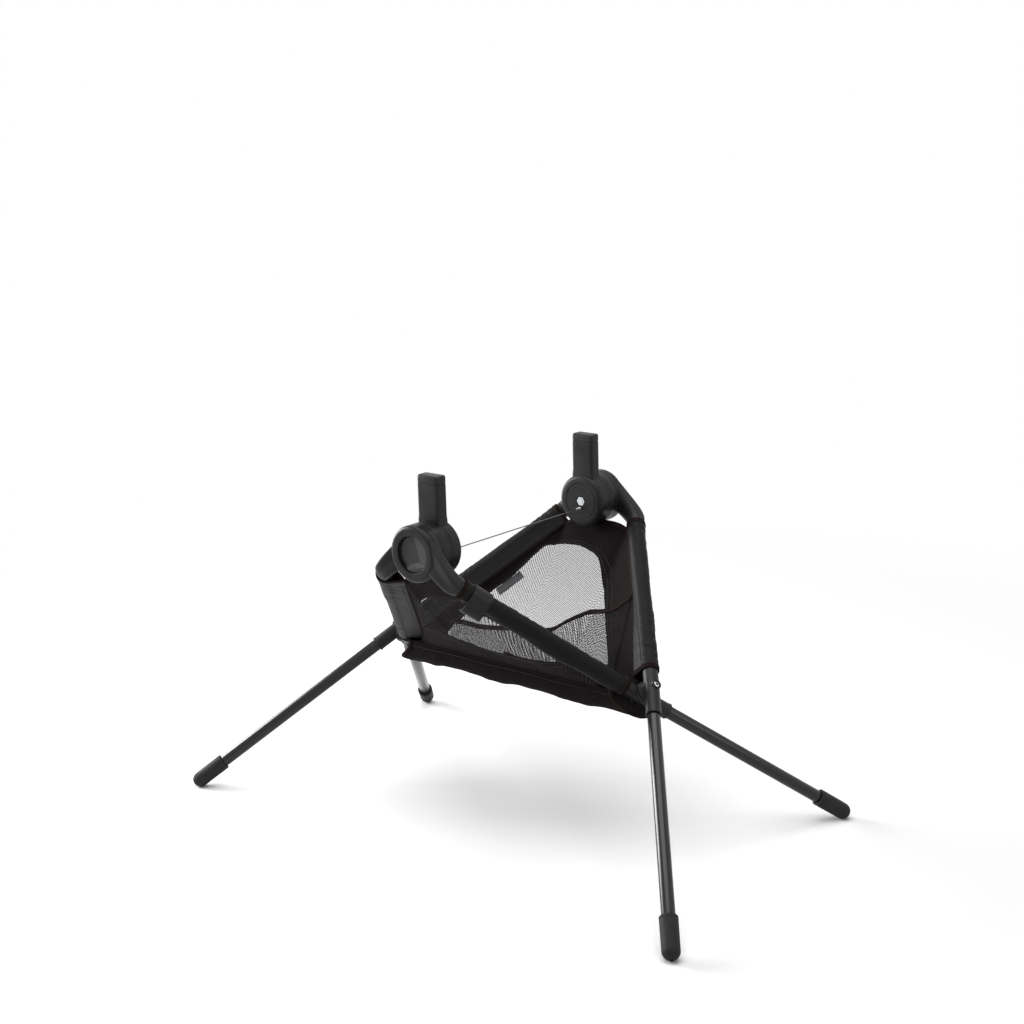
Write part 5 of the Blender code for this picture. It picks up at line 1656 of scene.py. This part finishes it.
class STAND_OT_pocket(bpy.types.Operator):
    """Net pocket inside the far panel, with its bound top edge standing off"""

    bl_idname = "stand.pocket"
    bl_label = "Pocket"

    COLUMNS, ROWS = 130, 26
    EDGE = (
        (-0.1803, 0.080), (-0.1700, 0.350), (-0.1563, 0.515), (-0.1202, 0.700), (-0.0600, 0.775), (0.0054, 0.755),
        (0.0350, 0.662), (0.0858, 0.490), (0.1150, 0.300), (0.1370, 0.030),
    )

    def execute(self, context):
        self.edge = outline(self.EDGE, self.COLUMNS + 1)
        shape = Shape()
        rows = [self.line(row / self.ROWS) for row in range(self.ROWS + 1)]
        shape.skin(rows, False, 0, lambda i, j: (0.34 * j / self.COLUMNS, 0.095 * i / self.ROWS))
        tape = [self.line(1.0, lift, along) for along, lift in (
            (-0.0075, 0.0004), (-0.0073, 0.0010), (0.0, 0.0011), (0.0009, 0.0), (0.0, -0.0011),
            (-0.0073, -0.0010), (-0.0075, -0.0004))]
        shape.skin(tape, False, 1, lambda i, j: (0.34 * j / self.COLUMNS, i * 0.003))
        shape.stitches(self.line(1.0, 0.0012, -0.0060)[1:-1], inwards(FAR), 0.0038)
        item = build("inner_pocket_cloth", shape, ["pocket_net", "binding_tape", "sewing_thread"],
                     "sling", "inner_pocket", angle=80, solid=False)
        squashed(item)
        return {"FINISHED"}

    def line(self, rise, extra=0.0, along=0.0):
        return [self.point(k, rise, extra, along) for k in range(self.COLUMNS + 1)]

    def point(self, k, rise, extra, along):
        """Point of the pocket: k counts along its bound edge, rise is 0 at the sling's seam and 1 at the edge."""
        edge = self.edge[k]
        free = 1 - (2 * k / self.COLUMNS - 1) ** 2
        foot = Vector((edge.x * 0.93 if edge.x < 0 else edge.x * 1.12, 0.985))
        at = foot.lerp(edge, rise)
        stand = 0.0022 + 0.0060 * rise * free
        stand += 0.0010 * noise.noise(Vector((at.x * 55, rise * 2, 2.2))) * rise * free
        return panel_point(FAR, at.x, at.y - along / max(panel_height(FAR, at.x), 0.03), stand + extra)


class STAND_OT_trims(bpy.types.Operator):
    """Blank tab inside the far panel and webbing loop outside the near one"""

    bl_idname = "stand.trims"
    bl_label = "Tab and loop"

    def execute(self, context):
        self.tab(-0.1030, 0.3150)
        self.loop(0.0560, 0.775)
        return {"FINISHED"}

    def tab(self, x, height):
        """Blank woven tab, one corner lifting, with a row of stitches along each side."""
        down = next(k / 400 for k in range(401) if panel_point(FAR, x, k / 400).z <= height)
        point = panel_point(FAR, x, down)
        below, beside = panel_point(FAR, x, min(down + 0.02, 1.0)), panel_point(FAR, x + 0.004, down)
        normal = (below - point).cross(beside - point).normalized()
        if normal.y > 0:
            normal.negate()
        long, wide, thick, steps, across = 0.0490, 0.0130, 0.0005, 32, 10
        top, under = [], []
        for u in spread(-long / 2, long / 2, steps):
            top.append([])
            under.append([])
            for v in spread(-wide / 2, wide / 2, across):
                lift = self.wave(u) + 0.0016 * smooth(u, 0.012, 0.022) * smooth(v, -0.002, 0.006)
                edge = 0.0002 * smooth(abs(v), 0.0046, 0.0058)
                top[-1].append(Vector((u, v, thick + lift + edge)))
                under[-1].append(Vector((u, v, lift)))
        edges = [[top[end], under[end]] for end in (0, -1)]
        edges += [[[row[end] for row in top], [row[end] for row in under]] for end in (0, -1)]
        shape = Shape()
        for rows in (top, under, *edges):
            shape.skin(rows, uv=lambda i, j: (i * long / steps, j * wide / across))
        for v in (-0.0050, 0.0050):
            path = [Vector((u, v, 0.0011 + self.wave(u))) for u in spread(-0.020, 0.010, 10)]
            shape.stitches(path, Vector((0, 0, 1)), finish=1)
        matrix = frame_matrix(point + normal * 0.0022, normal, Pole(FAR, BACK).up)
        item = build("blank_tab_cloth", shape, ["ribbed_tab_cloth", "sewing_thread"], "sling", "blank_label_tab",
                     matrix, 50)
        squashed(item)

    def wave(self, along):
        return 0.0006 * math.sin(along * 90)

    def loop(self, x, down):
        """Flat webbing folded into a loop and sewn by its two ends."""
        foot, head = panel_point(NEAR, x, down), panel_point(NEAR, x, 0.68)
        rise, side = (head - foot).normalized(), Vector((1, 0, 0))
        out = rise.cross(side).normalized()
        if out.y > 0:
            out.negate()
        wide, tall, thick, half_webbing, steps = 0.0130, 0.0185, 0.0007, 0.0021, 40
        section = ((-1, -0.5), (-0.9, 0.5), (-0.45, 0.62), (0.45, 0.62),
                   (0.9, 0.5), (1, -0.5), (0.45, -0.62), (-0.45, -0.62))
        path = []
        for a in (math.radians(-70 + 320 * k / steps) for k in range(steps + 1)):
            path.append(Vector((wide / 2 * math.cos(a), tall / 2 * (1 + math.sin(a)))))
        rows = []
        for k, point in enumerate(path):
            way = (path[min(k + 1, steps)] - path[max(k - 1, 0)]).normalized()
            across = Vector((-way.y, way.x)) * half_webbing
            standing = 0.0015 + 0.0030 * math.sin(math.pi * k / steps)
            ring = []
            for u, v in section:
                at = point + across * u
                ring.append(foot + side * at.x + rise * at.y + out * (standing + v * thick))
            rows.append(ring)
        shape = Shape()
        shape.skin(rows, True, 0, lambda i, j: (i * 0.0013, j * 0.0012))
        shape.lids(rows[0], rows[-1])
        item = build("pull_loop_webbing", shape, ["binding_tape"], "sling", "pull_loop", angle=60)
        squashed(item)


class STAND_OT_clip(bpy.types.Operator):
    """Storage clip that hooks over the near front sleeve"""

    bl_idname = "stand.clip"
    bl_label = "Clip"

    WALL = 0.0026

    def execute(self, context):
        pole = Pole(NEAR, FRONT)
        below = -Vector((math.cos(pole.lean), 0, math.sin(pole.lean)))
        beside, turn = pole.up.cross(below).normalized(), math.radians(50)
        matrix = frame_matrix(pole.upper(pole.arm_end - CLIP_FROM_ARM_END), pole.up,
                              below * math.cos(turn) + beside * math.sin(turn))
        outer, inner = self.side(self.WALL / 2), self.side(-self.WALL / 2)
        section = outer + self.round_end(outer[-1], inner[-1]) + inner[::-1] + self.round_end(inner[0], outer[0])
        edge = ((0.0150, 0.0006), (0.0147, 0.0002), (0.0142, 0.0))
        stations = [(-along, inset) for along, inset in edge]
        stations += [(along, 0.0) for along in spread(-0.012, 0.012, 8)]
        rows = [[Vector((x, y, along)) for x, y in self.inset(section, by)]
                for along, by in (*stations, *reversed(edge))]
        shape = Shape()
        shape.skin(rows, True)
        shape.lids(rows[0], rows[-1])
        build("clip_moulding", shape, ["moulded_plastic"], "front_frame", "storage_clip", matrix, 40)
        return {"FINISHED"}

    def side(self, shift):
        """One skin of the wall: round the sleeve, then round the empty jaw."""
        hook = sizes().socket / 2 + 0.0016 + self.WALL / 2 + shift
        jaw, drop = 0.0165 / 2 + self.WALL / 2 + shift, 0.0170
        meet = math.acos((hook - jaw) / drop)
        points = [(hook * math.cos(a), hook * math.sin(a)) for a in spread(math.radians(175), meet, 30)]
        points += [(drop + jaw * math.cos(a), jaw * math.sin(a)) for a in spread(meet, math.radians(-40), 34)]
        return points

    def round_end(self, a, b):
        """Half round between the wall's two skins."""
        a, b = Vector(a), Vector(b)
        centre, arm = (a + b) / 2, (a - b) / 2
        out = Vector((arm.y, -arm.x))
        return [tuple(centre + arm * math.cos(t) - out * math.sin(t)) for t in spread(0.3, math.pi - 0.3, 5)]

    def inset(self, section, by):
        """Section drawn in, where by isn't 0."""
        points = [Vector(p) for p in section]
        result = []
        for k, point in enumerate(points):
            edge = points[(k + 1) % len(points)] - points[k - 1]
            result.append(point + Vector((-edge.y, edge.x)).normalized() * by)
        return result


# ---------------------------------------------------------------- the add-on


OPERATORS = (
    STAND_OT_stage,
    STAND_OT_legs,
    STAND_OT_sockets,
    STAND_OT_pivots,
    STAND_OT_arms,
    STAND_OT_hubs,
    STAND_OT_buttons,
    STAND_OT_cable,
    STAND_OT_inner_tubes,
    STAND_OT_sleeves,
    STAND_OT_panels,
    STAND_OT_floor_cloth,
    STAND_OT_pocket,
    STAND_OT_trims,
    STAND_OT_clip,
)


class STAND_PT_sidebar(bpy.types.Panel):
    """Sizes, colours and pieces of the stand"""

    bl_idname = "STAND_PT_sidebar"
    bl_label = "Bassinet stand"
    bl_space_type = "VIEW_3D"
    bl_region_type = "UI"
    bl_category = "Stand"

    def draw(self, context):
        layout = self.layout
        for group in (context.scene.stand_sizes, context.scene.stand_colours):
            box = layout.box()
            for name in group.__annotations__:
                box.prop(group, name)
        for operator in OPERATORS:
            layout.operator(operator.bl_idname)


CLASSES = (StandSizes, StandColours, *OPERATORS, STAND_PT_sidebar)


def register():
    for item in CLASSES:
        bpy.utils.register_class(item)
    bpy.types.Scene.stand_sizes = bpy.props.PointerProperty(type=StandSizes)
    bpy.types.Scene.stand_colours = bpy.props.PointerProperty(type=StandColours)


def unregister():
    del bpy.types.Scene.stand_colours
    del bpy.types.Scene.stand_sizes
    for item in reversed(CLASSES):
        bpy.utils.unregister_class(item)


def main():
    register()
    for operator in OPERATORS:
        family, action = operator.bl_idname.split(".")
        getattr(getattr(bpy.ops, family), action)()
    plain = lambda box: [[float(c) for c in corner] for corner in box]
    {"cad": plain(CAD_BOX), "visual": plain(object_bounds())}


if __name__ == "__main__":
    main()
